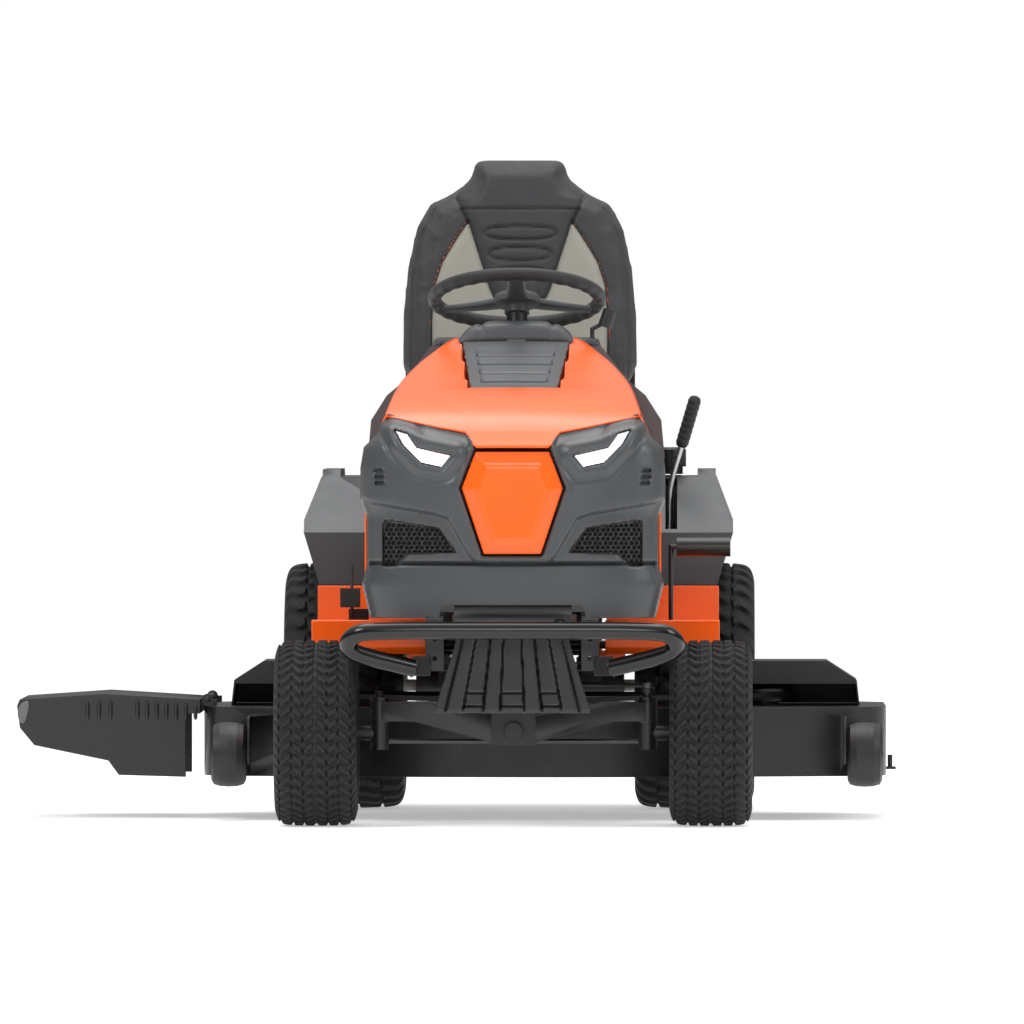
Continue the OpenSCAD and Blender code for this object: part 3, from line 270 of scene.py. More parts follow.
def merged(mesh, gap, repair=None):
    """Merges the mesh's points that lie closer than the gap, in metres, and then repairs it."""
    work = bmesh.new()
    work.from_mesh(mesh)
    bmesh.ops.remove_doubles(work, verts=work.verts, dist=gap)
    if repair:
        repair(work)
    work.to_mesh(mesh)
    work.free()


def piece(name, shape, body, materials, stands_for=None, bevel=0.0, wall=0.0):
    """Makes the mesh in the row frame, its seams merged, and finishes it."""
    mesh = bpy.data.meshes.new(name)
    mesh.from_pydata((np.concatenate(shape.points) / 1000 + ORIGIN).tolist(), [], shape.faces)
    mesh.polygons.foreach_set("material_index", shape.marks)
    merged(mesh, SEAM)
    finish(placed(name, mesh), body, materials, stands_for, bevel, wall)


def finish(obj, body, materials, stands_for=None, bevel=0.0, wall=0.0):
    """Materials, modifiers and body of a piece; the CAD node that it stands for is hidden. A wall is as
    thick as it says, inwards; a bevel rounds the edges sharper than BEVEL_FROM."""
    mesh = obj.data
    if len(mesh.materials):
        mesh.materials.clear()
    for m in materials if isinstance(materials, list) else [materials]:
        mesh.materials.append(m)
    mesh.polygons.foreach_set("use_smooth", [True] * len(mesh.polygons))
    if wall:
        m = obj.modifiers.new("wall", "SOLIDIFY")
        m.thickness, m.offset, m.use_even_offset = wall / 1000, -1, False
    if bevel:
        m = obj.modifiers.new("edges", "BEVEL")
        m.width, m.segments = bevel / 1000, 4 if bevel > WIDE_BEVEL else 2
        m.limit_method, m.angle_limit = "ANGLE", BEVEL_FROM
        m.harden_normals, m.use_clamp_overlap, m.miter_outer = False, True, "MITER_ARC"
    mesh.set_sharp_from_angle(angle=SHARP_BEVELLED if bevel else SHARP)
    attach(obj, body)
    if stands_for:
        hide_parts(stands_for)


def softened(node, name, body, material, slot, bevel):
    """A copy of a CAD node with its flat faces whole again and its edges rounded."""
    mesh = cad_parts[node].data.copy()
    mesh.name = name
    obj = placed(name, mesh)
    merged(mesh, CAD_GAP, lambda work: bmesh.ops.dissolve_limit(work, angle_limit=FLAT, verts=work.verts,
                                                                edges=work.edges))
    if mesh.has_custom_normals:
        mesh.normals_split_custom_set([(0, 0, 0)] * len(mesh.loops))
    finish(obj, body, material, node, bevel)


def painted(nodes, material):
    """Gives CAD nodes that stay a material."""
    for node in nodes:
        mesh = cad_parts[node].data
        if not len(mesh.materials):
            mesh.materials.append(material)
        for k in range(len(mesh.materials)):
            mesh.materials[k] = material


# ---- shader maths ----

class Value:
    """One number that varies over a surface. The operators add Math nodes."""

    def __init__(self, kit, socket):
        self.kit, self.socket = kit, socket

    def op(self, name, other=None, flip=False):
        a, b = (other, self) if flip else (self, other)
        return self.kit.math(name, a, b)

    def __add__(self, o): return self.op("ADD", o)
    def __radd__(self, o): return self.op("ADD", o)
    def __sub__(self, o): return self.op("SUBTRACT", o)
    def __rsub__(self, o): return self.op("SUBTRACT", o, True)
    def __mul__(self, o): return self.op("MULTIPLY", o)
    def __rmul__(self, o): return self.op("MULTIPLY", o)
    def __lt__(self, o): return self.op("LESS_THAN", o)


class Tree:
    """A node tree. node() adds any node: a socket is named, or i and its number."""

    def __init__(self, tree):
        self.tree = tree

    def node(self, kind, settings=(), **sockets):
        n = self.tree.nodes.new(kind)
        for key, value in dict(settings).items():
            if key == "ramp":
                for k, (at, colour) in enumerate(value):
                    stop = n.color_ramp.elements[k] if k < 2 else n.color_ramp.elements.new(at)
                    stop.position, stop.color = at, colour
            else:
                setattr(n, key, value)
        for key, value in sockets.items():
            socket = n.inputs[int(key[1:])] if key[0] == "i" and key[1:].isdigit() else n.inputs[key]
            self.feed(socket, value)
        return n

    def feed(self, socket, value):
        if isinstance(value, Value):
            value = value.socket
        if isinstance(value, bpy.types.NodeSocket):
            self.tree.links.new(value, socket)
        else:
            socket.default_value = value


class Finish(Tree):
    """Builds one material; the methods are short for the common nodes."""

    def __init__(self, name, colour, rough, metal=0.0, coat=0.0, **constants):
        self.material = bpy.data.materials.new(name)
        self.material.use_nodes = True
        super().__init__(self.material.node_tree)
        self.shader = self.tree.nodes["Principled BSDF"]
        self.put("Base Color", (*colour, 1))
        self.put("Roughness", rough)
        self.put("Metallic", metal)
        self.put("Coat Weight", coat)
        for key, value in constants.items():
            self.put(key.replace("_", " "), value)
        self.place = self.node("ShaderNodeTexCoord").outputs["Object"]

    def put(self, name, value):
        self.feed(self.shader.inputs[name], value)

    def math(self, operation, a, b=None):
        sockets = {"i0": a} if b is None else {"i0": a, "i1": b}
        return Value(self, self.node("ShaderNodeMath", {"operation": operation}, **sockets).outputs[0])

    def noise(self, scale, detail=3.0, stretch=None):
        """Noise over the piece's own place, in patches of about 1 / scale metres."""
        where = self.stretched(stretch) if stretch else self.place
        n = self.node("ShaderNodeTexNoise", Vector=where, Scale=scale, Detail=detail)
        return Value(self, n.outputs[0])

    def cells(self, scale, feature="F1"):
        n = self.node("ShaderNodeTexVoronoi", {"feature": feature}, Vector=self.place, Scale=scale)
        return Value(self, n.outputs["Distance"])

    def stretched(self, scale):
        return self.node("ShaderNodeMapping", Vector=self.place, Scale=scale).outputs[0]

    def axis(self, name):
        return Value(self, self.node("ShaderNodeSeparateXYZ", Vector=self.place).outputs[name])

    def attribute(self, name):
        return Value(self, self.node("ShaderNodeAttribute", {"attribute_name": name}).outputs["Fac"])

    def ramp(self, value, *stops):
        """A number from 0 to 1 read through a colour ramp of (place, grey) stops."""
        stops = [(at, (g, g, g, 1)) for at, g in stops]
        n = self.node("ShaderNodeValToRGB", {"ramp": stops}, Fac=value)
        return Value(self, n.outputs[0])

    def blend(self, factor, a, b):
        """Colour a where the factor is 0 and colour b where it is 1."""
        a, b = ((*c, 1) if isinstance(c, tuple) else c for c in (a, b))
        return self.node("ShaderNodeMix", {"data_type": "RGBA"}, i0=factor, i6=a, i7=b).outputs[2]

    def relief(self, height, depth, normal=None):
        """Bump of a depth in metres; several are chained through their normals."""
        sockets = {"Height": height, "Distance": depth, "Strength": 1.0}
        if normal is not None:
            sockets["Normal"] = normal
        out = self.node("ShaderNodeBump", **sockets).outputs[0]
        self.put("Normal", out)
        return out


def tone(r, g, b):
    """Linear colour of an 8-bit screen colour."""
    return tuple(float(c) for c in (np.array((r, g, b)) / 255) ** 2.2)


def worn(f, colour, amount, scale):
    """Uneven tone over a surface: broad noise takes the colour a little darker or lighter."""
    dark = tuple(c * (1 - amount) for c in colour)
    light = tuple(min(1, c * (1 + amount)) for c in colour)
    f.put("Base Color", f.blend(f.noise(scale, 4), dark, light))


def gloss_paint(name, colour, rough):
    """Sprayed paint under a clear coat: fine waviness, and faint dust in its gloss."""
    f = Finish(name, colour, rough, coat=0.25, Coat_Roughness=0.16, Specular_IOR_Level=0.35)
    worn(f, colour, 0.06, 5)
    f.put("Roughness", f.noise(14, 4) * 0.12 + (rough - 0.06))
    f.relief(f.noise(420, 2), 0.00012)
    return f.material


def moulded(name, colour, rough, grain=900.0, depth=0.00012):
    """Moulded plastic with a fine pebbled grain."""
    f = Finish(name, colour, rough)
    worn(f, colour, 0.10, 7)
    f.put("Roughness", f.noise(30, 3) * 0.16 + (rough - 0.08))
    f.relief(f.cells(grain), depth)
    return f.material


def powder(name, colour, rough):
    """Powder-coated steel: orange-peel ripple and a satin gloss with duller patches."""
    f = Finish(name, colour, rough, coat=0.15, Coat_Roughness=0.2)
    worn(f, colour, 0.14, 6)
    f.put("Roughness", f.noise(22, 5) * 0.2 + (rough - 0.1))
    f.relief(f.noise(650, 2), 0.00016)
    return f.material


def bare_metal(name, colour, rough=0.32):
    """Bare metal with machining streaks and duller smudges."""
    f = Finish(name, colour, rough, metal=1.0)
    worn(f, colour, 0.18, 12)
    lines = f.noise(160, 3, (1, 1, 9))
    f.put("Roughness", lines * 0.16 + f.noise(16, 3) * 0.14 + (rough - 0.14))
    f.relief(lines, 0.00005)
    return f.material


def cast(name, colour):
    """Cast alloy: coarse sand texture."""
    f = Finish(name, colour, 0.5, metal=0.9)
    worn(f, colour, 0.2, 10)
    f.relief(f.noise(260, 6), 0.0005)
    return f.material


def rubber(name, colour):
    """Tyre rubber: dull, with dust in the low places and a faint moulding grain."""
    f = Finish(name, colour, 0.72, Specular_IOR_Level=0.35)
    dust = f.ramp(f.noise(18, 6), (0.42, 0.0), (0.75, 1.0))
    f.put("Base Color", f.blend(dust * 0.35, colour, tuple(c * 1.9 + 0.004 for c in colour)))
    f.put("Roughness", dust * 0.12 + 0.66)
    f.relief(f.noise(520, 4), 0.0002)
    return f.material


def grained_vinyl(name, colour, rough):
    """Upholstery vinyl: cracked leather grain of two sizes with soft wear."""
    f = Finish(name, colour, rough, Sheen_Weight=0.08)
    worn(f, colour, 0.16, 8)
    grain = f.cells(330, "DISTANCE_TO_EDGE")
    f.put("Roughness", f.ramp(grain, (0.0, 0.62), (0.18, rough)))
    first = f.relief(f.ramp(grain, (0.0, 0.0), (0.16, 1.0)), 0.00035)
    f.relief(f.noise(1400, 2), 0.00008, first)
    return f.material


ORANGE = tone(248, 92, 14)

orange = gloss_paint("orange_gloss", ORANGE, 0.24)
orange_frame = powder("orange_powder", ORANGE, 0.32)
grey = moulded("grey_moulding", tone(62, 64, 66), 0.36, 1100, 0.00006)
dash_grey = moulded("dash_moulding", tone(68, 70, 72), 0.42, 1000, 0.00008)
black_gloss = gloss_paint("black_gloss", tone(9, 9, 10), 0.2)
black_steel = powder("black_powder", tone(14, 15, 16), 0.36)
deck_black = powder("deck_powder", tone(13, 14, 15), 0.3)
black_plastic = moulded("black_moulding", tone(18, 18, 19), 0.46)
chute_plastic = moulded("deflector_moulding", tone(30, 31, 32), 0.45)
steel = bare_metal("steel_bright", tone(178, 178, 176))
dark_steel = bare_metal("steel_dark", tone(86, 86, 88), 0.42)
alloy = cast("alloy_cast", tone(110, 111, 112))
tyre_rubber = rubber("tyre_rubber_dull", tone(31, 32, 33))
rim_white = gloss_paint("rim_enamel", tone(212, 210, 204), 0.35)
belt_rubber = rubber("belt_rubber_dull", tone(28, 28, 28))
grip = grained_vinyl("grip_leather", tone(18, 18, 20), 0.5)
# painted shade: near-black for the floors of the grille's open cells, where only shade is seen
hole_shade_black = moulded("shadow_black", tone(10, 10, 11), 0.8)


# ---- hood and nose ----

# The hood's middle line as (y, z), the grille's top edge as (x, z), the vent's outline as (x, y)
HOOD_RUN = ([-249, -243, -210, -150, -80, 0, 60, 200, 330, 455],
            [760, 782, 812, 842, 868, 889, 902, 938, 974, 1004])
NOSE_EDGE = ([0, 77, 92, 152, HOOD_HALF - 47], [771, 772, 803, 815, 843])
VENT = np.array([(-90, 26), (90, 26), (114, 458), (-114, 458)], float)
SLOTS = np.array([(-66, 78), (66, 78), (86, 396), (-86, 396)], float)
SLOT_PITCH = 74
NOSE_REAR, HOOD_REAR = -150, 455
HOOD_ROUND = 26                              # half the length over which the middle line is averaged
CROWN, CROWN_HALF = 5, 260                   # the top's rise in the middle, and the half width it has
TRAY = 46                                    # depth of the tray under the vent
HOLLOW = 5                                   # depth of the hollow along the side
SECTION, STATIONS = 181, 111                 # points across the hood and along it
NOSE_FROM = 842                              # the section above this height runs on into the nose


def hood_top(y):
    """Height of the hood's middle at y: a rounded line that rises to the rear."""
    return soft_line(y, *HOOD_RUN, HOOD_ROUND)


def crowned(x, y):
    """Height of the hood's top at (x, y): the middle line, less a parabola across."""
    return hood_top(y) + CROWN * (1 - (x / CROWN_HALF) ** 2)


def nose_start(x):
    """Where the orange skin starts behind the grille: the y at which the hood is as high as the
    grille's top edge is at x."""
    edge = np.interp(np.abs(x), *NOSE_EDGE)
    ys = np.linspace(-249, -120, 80)
    return np.interp(edge, hood_top(ys), ys)


def hood_skin():
    """The hood's section is one outline from sill to sill; at each y its height is held under the
    line of the hood's top by a soft minimum, so the flat middle narrows to the rear. A tray is
    sunk for the vent. The nose is a sheet from the grille's edge back to the first section."""
    w = HOOD_HALF
    half = np.array([(w - 9, 470), (w - 9, 690), (w - 14, 735), (w - 28, 790), (w - 46, 832), (w - 55, 860),
                     (w - 72, 905), (w - 109, 947), (w - 140, 972), (136, 999), (112, 1008), (50, 1012)])
    section = spaced(cut_corners(np.vstack([half * (-1, 1), half[::-1]]), 2, False), SECTION)
    x, y = np.broadcast_arrays(section[:, :1], np.linspace(NOSE_REAR, HOOD_REAR, STATIONS)[None])
    z = soft_min(section[:, 1:], crowned(x, y), 4)
    z = z - TRAY * ease((3 - distance(VENT, x, y)) / 6) * (z > 870)
    crease = 640 + 0.16 * (y - NOSE_REAR)
    side = ease((z - crease) / 9) * ease((crease + 120 - z) / 70)
    x = x - np.sign(x) * HOLLOW * side * ease((y + 120) / 60) * ease((430 - y) / 60) * (np.abs(x) > 230)
    body = np.stack([x, y, z], -1)
    shape = Shape().add(body, quads(SECTION, STATIONS))
    cap = np.flatnonzero(section[:, 1] > NOSE_FROM)
    start = nose_start(section[cap, :1])
    x, y = np.broadcast_arrays(section[cap, :1], start + (NOSE_REAR - start) * np.linspace(0, 1, 26)[None])
    z = crowned(x, y)
    z[:, -1] = body[cap, 0, 2]
    return shape.add(np.stack([x, y, z], -1), quads(len(cap), 26))


def vent_skin():
    """Louvre panel in the hood: it follows the hood's top; four slots cross it, and between them
    each slat rises to the rear like a saw tooth."""
    x, y, faces = patch(lambda a, b: distance(VENT, a, b) + 2, 4, (-122, 20), (122, 460))
    deep = ease(-distance(SLOTS, x, y) / 5)
    phase = ((y - 98) / SLOT_PITCH) % 1
    saw = -22 + 20 * ease((phase - 0.24) / 0.10) - 6 * (1 - phase)
    sunk = 4 + 6 * ease((y - 100) / 300)
    z = hood_top(y) + 2.5 * (1 - (x / 130) ** 2) - sunk + deep * (saw + 1)
    return Shape().add(np.stack([x, y, z], -1), faces)


# ---- grille: one front surface, cut into panels ----

# Outlines as (x, z). The fascia's outer edge is the front's half width at each height.
FRONT_HALF = (np.array([429, 500, 535, 640, 670, 735, 777, 803, 845]),
              HOOD_HALF - np.array([20, 3, 13, 12, 0, 0, 7, 33, 50]))
FRONT_REAR, FRONT_DEPTH = -150, 95
FASCIA = mirrored([(144, 456), (150, 429), *zip(FRONT_HALF[1], FRONT_HALF[0]), (258, 845), (152, 815),
                   (92, 803), (77, 772)])
MASK = mirrored([(0, 546), (70, 546), (84, 560), (128, 636), (160, 646), (290, 668), (330, 690), (330, 900),
                 (0, 900)])
BADGE = mirrored([(58, 560), (103, 694), (75, 768)])
LAMP = np.array([(125, 760), (195, 776), (214, 804), (239, 811), (223, 783), (209, 769), (186, 746),
                 (144, 737)], float)
COMB = np.array([(118, 565), (152, 611), (258, 627), (262, 620), (262, 537), (240, 537), (214, 562)], float)
COMB_PITCH = 10.5
LOUVRE = np.array([(258, 697), (281, 700), (283, 737), (262, 737)], float)


def bowed(u):
    """Depth of the front at u, the share of its half width: a flattened ellipse."""
    return FRONT_REAR - FRONT_DEPTH * np.sqrt(1 - np.clip(u, 0, 1) ** 3.3)


def front(x, z):
    """Depth of the front at (x, z). Across, it is a flattened ellipse as wide as the outline at that
    height; its top edge leans back to meet the hood; below the mask it steps back."""
    half = soft_line(z, *FRONT_HALF, 8)
    u = np.clip(np.abs(x) / half, 0, 1)
    y = bowed(u)
    edge = np.interp(np.abs(x), *NOSE_EDGE)
    lean = ease((z - edge + 28) / 28) * ease((np.abs(x) - 80) / 14)
    y = y * (1 - lean) + nose_start(x) * lean
    y = y + 13 * ease(distance(MASK, x, z) / 9) * ease((1 - u) / 0.05)
    return y + (9 * ease((546 - z) / 6) + 9 * hill(z - 541, 3.5)) * ease((1 - u) / 0.05)


def fascia_skin():
    """The grey panel: the front surface less the badge, the lamps and the combs. It rolls inwards
    round each opening, stands proud in a brow round the lamps, and carries two stacks of louvres."""
    def region(a, b):
        holes = [distance(BADGE, a, b) - 3, distance(LAMP, np.abs(a), b), distance(COMB, np.abs(a), b)]
        return np.maximum(distance(FASCIA, a, b), -np.min(holes, axis=0))
    x, z, faces = patch(region, 3.0, (-HOOD_HALF - 3, 426), (HOOD_HALF + 3, 849))
    lamp, comb = distance(LAMP, np.abs(x), z), distance(COMB, np.abs(x), z)
    badge, louvre = distance(BADGE, x, z) - 3, distance(LOUVRE, np.abs(x), z)
    y = front(x, z)
    y = y + 12 * ease((4 - lamp) / 4) - 5 * hill(lamp - 13, 7) + 12 * ease((4 - comb) / 4)
    y = y + 12 * ease((3.5 - badge) / 3.5) - 2.5 * hill(badge - 9, 5)
    y = y + 4 * hill(lamp - 30, 5)
    slats = 5 + 5 * np.cos((z - 717) / 12.5 * 2 * math.pi)
    y = y + slats * ease(-louvre / 3)
    return Shape().add(np.stack([x, y, z], -1), faces)


def comb_skin():
    """Honeycomb: the front surface set back, with a wall where the hexagonal distance to the nearest
    cell's middle is almost half the pitch, and a deep hole inside it whose floor is near-black painted
    shade."""
    shape, pitch = Shape(), COMB_PITCH
    x, z, faces = patch(lambda a, b: distance(COMB, a, b) + 0.6, 1.6, (114, 530), (266, 632))
    step = np.array((pitch, pitch * math.sqrt(3)))
    here = np.stack([x, z], -1)
    first = here - np.round(here / step) * step
    second = here - (np.floor(here / step) + 0.5) * step
    near = np.where(((first ** 2).sum(1) < (second ** 2).sum(1))[:, None], first, second)
    turns = np.array([(1, 0), (0.5, math.sqrt(3) / 2), (0.5, -math.sqrt(3) / 2)])
    hexagon = np.abs(near @ turns.T).max(1)
    y = front(x, z) + 8 + 6 * ease((pitch / 2 - 0.7 - hexagon) / 1.2)
    points = np.stack([x, y, z], -1)
    open_cell = [hexagon[f].mean() < pitch / 2 - 1.3 for f in faces]
    shape.both(points, [f for f, hole in zip(faces, open_cell) if not hole])
    # the open cells' floors take the second material, near-black painted shade
    return shape.both(points, [f for f, hole in zip(faces, open_cell) if hole], 1)


def badge_skin():
    """Badge: the front surface, raised over a wide slope along its sides and foot."""
    x, z, faces = patch(lambda a, b: distance(BADGE, a, b), 3.0, (-106, 556), (106, 772))
    inset = -distance(BADGE, x, z)
    bevel = 27
    flat = inset / bevel
    top = np.minimum(1, np.maximum(768 - z, 0) / 6)
    y = bowed(np.abs(x) / HOOD_HALF) + 6 - 11 * np.clip(flat, 0, 1) * top + 2 * hill(inset - bevel, 2)
    return Shape().add(np.stack([x, y, z], -1), faces)


def lamp_skin():
    """Lamp glass: the front surface a little behind the brow, swollen along the lamp's middle."""
    x, z, faces = patch(lambda a, b: distance(LAMP, a, b) + 0.4, 2.2, (122, 734), (242, 814))
    y = front(x, z) + 7 - 4 * ease(-distance(LAMP, x, z) / 9)
    return Shape().both(np.stack([x, y, z], -1), faces)


def lamp_glass():
    """Lit lamp: the light is strongest along the lamp's inner foot and fades to clear facets."""
    f = Finish("lamp_glass_lit", (0.75, 0.8, 0.88), 0.12, coat=0.5, Emission_Strength=1.15)
    across = f.math("ABSOLUTE", f.axis("X") - float(ORIGIN[0]))
    height = f.axis("Z")
    lit = f.ramp((height * -14.0) + 11.55 - (across - 0.18) * 3.0, (0.15, 0.12), (0.80, 1.0))
    facets = f.ramp(f.math("PINGPONG", across * 90 + height * 60, 0.5), (0.1, 0.55), (0.4, 1.0))
    f.put("Emission Color", f.blend(lit * facets, (0.05, 0.07, 0.11), (0.90, 0.95, 1.0)))
    f.put("Base Color", f.blend(facets, (0.35, 0.38, 0.42), (0.9, 0.92, 0.95)))
    return f.material


piece("hood_skin", hood_skin(), "hood", orange, "hood_shell", wall=4)
piece("hood_louvres", vent_skin(), "hood", dash_grey, "hood_vent", wall=2)
piece("front_fascia", fascia_skin(), "hood", grey, "grille", wall=4)
piece("front_combs", comb_skin(), "hood", [grey, hole_shade_black], "grille_mesh")
piece("front_badge", badge_skin(), "hood", orange, "badge_panel", wall=3)
piece("front_lamps", lamp_skin(), "hood", lamp_glass(), "headlamps", wall=2)


# ---- bumper ----

def bumper_tube():
    """The bumper's tube follows its rounded line; two plates hold its ends."""
    y, z = span("front_bumper")[0][1] + 18, 406
    line = np.array([(202, -222, 328), (300, -270, 352), (338, -290, 368), (326, y + 10, 396), (290, y, z),
                     (0, y, z)], float)
    line = np.vstack([line * (-1, 1, 1), line[::-1][1:]])
    shape = Shape().add(*tube(spaced(cut_corners(line, 3, False), 150), 17.8, 28))
    points, faces = block((166, -224, 312), (204, -211, 352))
    return shape.both(points, faces)


piece("bumper_tube", bumper_tube(), "chassis", black_gloss, "front_bumper", bevel=1.5)


def guard_skin():
    """Guard between the frame's front plates: a sheet that widens to its foot, with four pressed ribs
    that spread with it and a dark window between each pair at the foot."""
    top, foot = 404, 236
    outline = mirrored([(0, top), (112, top), (118, 372), (160, foot), (0, foot)])
    x, z, faces = patch(lambda a, b: distance(outline, a, b), 2.6, (-163, 232), (163, 406))
    spread = 1 + 0.42 * (top - z) / (top - foot)
    rib = np.clip(sum(ease((15 - np.abs(x / spread - at)) / 5) for at in (-84, -30, 30, 84)), 0, 1)
    y = -228 - 15 * rib
    window = ease((z - foot - 10) / 6) * ease((foot + 44 - z) / 6) * ease((95 - np.abs(x / spread)) / 6)
    y = y + 9 * window * (1 - rib) + 5 * ease((foot + 5 - z) / 4)
    return Shape().add(np.stack([x, y, z], -1), faces)


piece("guard_pressing", guard_skin(), "chassis", black_steel, "front_guard", wall=3)


# ---- dash ----

def cowl_skin():
    """Cowl over the dash: a mound over a rounded rectangle. Its height falls from the crown to the
    rim as a flattened ellipse across and rises from the hood to the wheel; a lower shelf runs out to
    each side."""
    u = np.linspace(-1, 1, 81)[:, None]
    v = np.linspace(0, 1, 49)[None]
    half, length, base = 119, 176, 990
    x, y = np.broadcast_arrays(half * np.sin(u * math.pi / 2), 466 + length * v)
    wide = np.abs(x) / half
    rise = np.clip(1 - (2 * v - 1) ** 6, 0, 1) ** 0.5
    crown = (50 - 6 * (1 - v)) * np.sqrt(np.clip(1 - wide ** 3.6, 0, 1))
    z = base + crown * (0.35 + 0.65 * rise) * ease(v / 0.10 + 0.35)
    z = z - 5 * hill(wide - 0.62, 0.05) * rise
    return Shape().add(np.stack([x, y, z], -1), quads(81, 49))


def shelf_skin():
    """Shelf of the dash round the cowl's foot, rolled down at its edge."""
    outline = cut_corners([(-176, 462), (176, 462), (176, 652), (-176, 652)], 3)
    x, y, faces = patch(lambda a, b: distance(outline, a, b), 5, (-178, 460), (178, 654))
    inset = np.clip(-distance(outline, x, y) / 16, 0, 1)
    z = 986 + 17 * np.sqrt(1 - (1 - inset) ** 2)
    key = np.hypot(x - 158, y - 532)
    return Shape().add(np.stack([x, y, z - 12 * ease((12 - key) / 6)], -1), faces)


piece("cowl_mound", cowl_skin(), "chassis", dash_grey, "dash_cowl", wall=3)
piece("cowl_shelf", shelf_skin(), "chassis", dash_grey, wall=3)


# ---- steering wheel ----

def on_column(points):
    """Turns points from the wheel's own frame, with +Z along the shaft, into the machine's."""
    p = np.asarray(points, float).reshape(-1, 3)
    c, s = math.cos(COLUMN), math.sin(COLUMN)
    return np.stack([p[:, 0], 620 + p[:, 1] * c + p[:, 2] * s, 1083 - p[:, 1] * s + p[:, 2] * c], 1)


def wheel_rim():
    """Ring whose section swells into finger grips on its underside."""
    a = np.linspace(0, 2 * math.pi, 336, endpoint=False)[:, None]
    b = np.linspace(0, 2 * math.pi, 28, endpoint=False)[None]
    under = ease(-np.sin(b) * 1.4 + 0.2)             # 1 on the underside, 0 on top
    r = 14.3 - 1.5 * under * (0.5 + 0.5 * np.cos(28 * a)) - 0.5 * hill(np.sin(b) - 0.15, 0.08)
    ring = 172.5 + r * np.cos(b)
    points = np.stack([ring * np.cos(a), ring * np.sin(a), r * np.sin(b) + 0 * a], -1)
    return Shape().add(on_column(points), quads(336, 28, True, True))


def wheel_middle():
    """Three spokes that widen into the hub, each a rounded section carried out along the spoke, and
    the hub's dished cap."""
    shape = Shape()
    out = np.linspace(0, 1, 24)[:, None]
    b = np.linspace(0, 2 * math.pi, 24, endpoint=False)[None]
    for turn in (20, 160, 270):
        half = 16.5 + 9 * (1 - out) ** 2
        thick = 5.5 + 3.0 * (1 - out)
        cb, sb = np.cos(b), np.sin(b)
        u = half * np.sign(cb) * np.abs(cb) ** 0.6
        w = -5 + thick * np.sign(sb) * np.abs(sb) ** 0.7 - 5 * out * (1 - out)
        run = 34 + out * 131
        a = math.radians(turn)
        points = np.stack([run * math.cos(a) - u * math.sin(a), run * math.sin(a) + u * math.cos(a), w], -1)
        shape.add(on_column(points), capped(24, 24))
    cap = [(0.01, 15), (18, 14.5), (30, 12.5), (38, 8), (39, 6.5), (41, 6.5), (44, 7), (47, 4), (48, -2),
           (48, -12), (40, -14), (0.01, -14)]
    points, faces = lathe(cap[::-1], 64)
    shape.add(on_column(points), faces)
    points, faces = lathe([(12.2, -32), (26, -32), (26, -12), (12.2, -12)], 48)
    return shape.add(on_column(points), faces)


piece("wheel_rim", wheel_rim(), "steering", grip, "steering_wheel")
piece("wheel_spokes", wheel_middle(), "steering", dash_grey)


# ---- tyres ----

def tyre(node, tread, deep, around, across):
    """Tyre: a closed profile turned round the axle. Over the tread the radius drops by the groove
    depth wherever the tread's pattern, a number from 0 to 1 at (distance round, distance across), is low."""
    low, high = span(node)
    r, w = (high[2] - low[2]) / 2, high[0] - low[0]
    rim = 104.0 if r < 220 else 154.0
    x0, y0, z0 = (low + high) / 2
    half = np.array([(rim + 1, 0.35), (rim + 7, 0.40), (rim + 16, 0.43), ((r + rim) / 2 + 4, 0.497),
                     (r - 26, 0.482), (r - 10, 0.452), (r - 3.5, 0.40), (r - 1, 0.30), (r, 0.12)])
    line = spaced(cut_corners(np.vstack([half, half[::-1] * (1, -1)]) * (1, w), 2, False), across)
    tail = spaced(np.vstack([line[-1:], (rim - 2, -0.3 * w), (rim - 2, 0.3 * w), line[:1]]), 8)[1:-1]
    line = np.vstack([line, tail])
    a = np.linspace(0, 2 * math.pi, around, endpoint=False)[:, None]
    rr, xx = line[None, :, 0], line[None, :, 1]
    on = ease((rr - (r - 30)) / 14)
    rr = rr - deep * on * (1 - tread(a * r, xx, r, w))
    rr = rr + 1.2 * hill(rr - (rim + 20), 2.0) + 0.8 * hill(rr - (rim + 30), 1.5)
    points = np.stack([x0 + xx + 0 * a, y0 + rr * np.sin(a), z0 + rr * np.cos(a)], -1)
    return Shape().add(points, quads(around, len(line), True, True))


def zigzag(run, across, r, w):
    """Turf tread: rows of lugs that bend three times across the tyre, cut by narrow lines."""
    rows = round(2 * math.pi * r / 25)
    wave = np.abs(((across / w * 3.6 + 0.5) % 1) - 0.5) * 1.7
    phase = (run * rows / (2 * math.pi * r) + wave) % 1
    lug = ease(phase / 0.14) * ease((0.66 - phase) / 0.14)
    line = np.abs(((across / w * 3.6 + 0.25) % 0.5) - 0.25) * w / 3.6
    return lug * ease((line - 1.2) / 2.0)


def bars(run, across, r, w):
    """Turf tread: four rows of short bars, each row half a step on from the next."""
    rows = round(2 * math.pi * r / 46)
    column = np.floor(across / w * 5 + 0.5)
    phase = (run * rows / (2 * math.pi * r) + 0.5 * (column % 2) + 0.12 * np.sin(across / w * 31)) % 1
    lug = ease(phase / 0.10) * ease((0.64 - phase) / 0.10)
    line = np.abs(((across / w * 5 + 0.5) % 1) - 0.5) * w / 5
    return lug * ease((0.5 * w / 5 - line - 1.8) / 2.6)


for side in SIDES:
    for end, pattern, deep, around, across in (("front", zigzag, 6.5, 432, 88),
                                               ("rear", bars, 9.0, 396, 110)):
        node = f"{end}_tyre_{side}"
        piece(f"{end}_tread_{side}", tyre(node, pattern, deep, around, across), f"{end}_wheel_{side}",
              tyre_rubber, node)


# ---- seat ----

def on_back(x, y, h):
    """Turns (x, y, h) from the leaning backrest's frame, whose origin is the foot of its rear face."""
    c, s = math.cos(LEAN), math.sin(LEAN)
    return np.stack([x, WHEELBASE + y * c + h * s, FOOT_Z - y * s + h * c], -1)


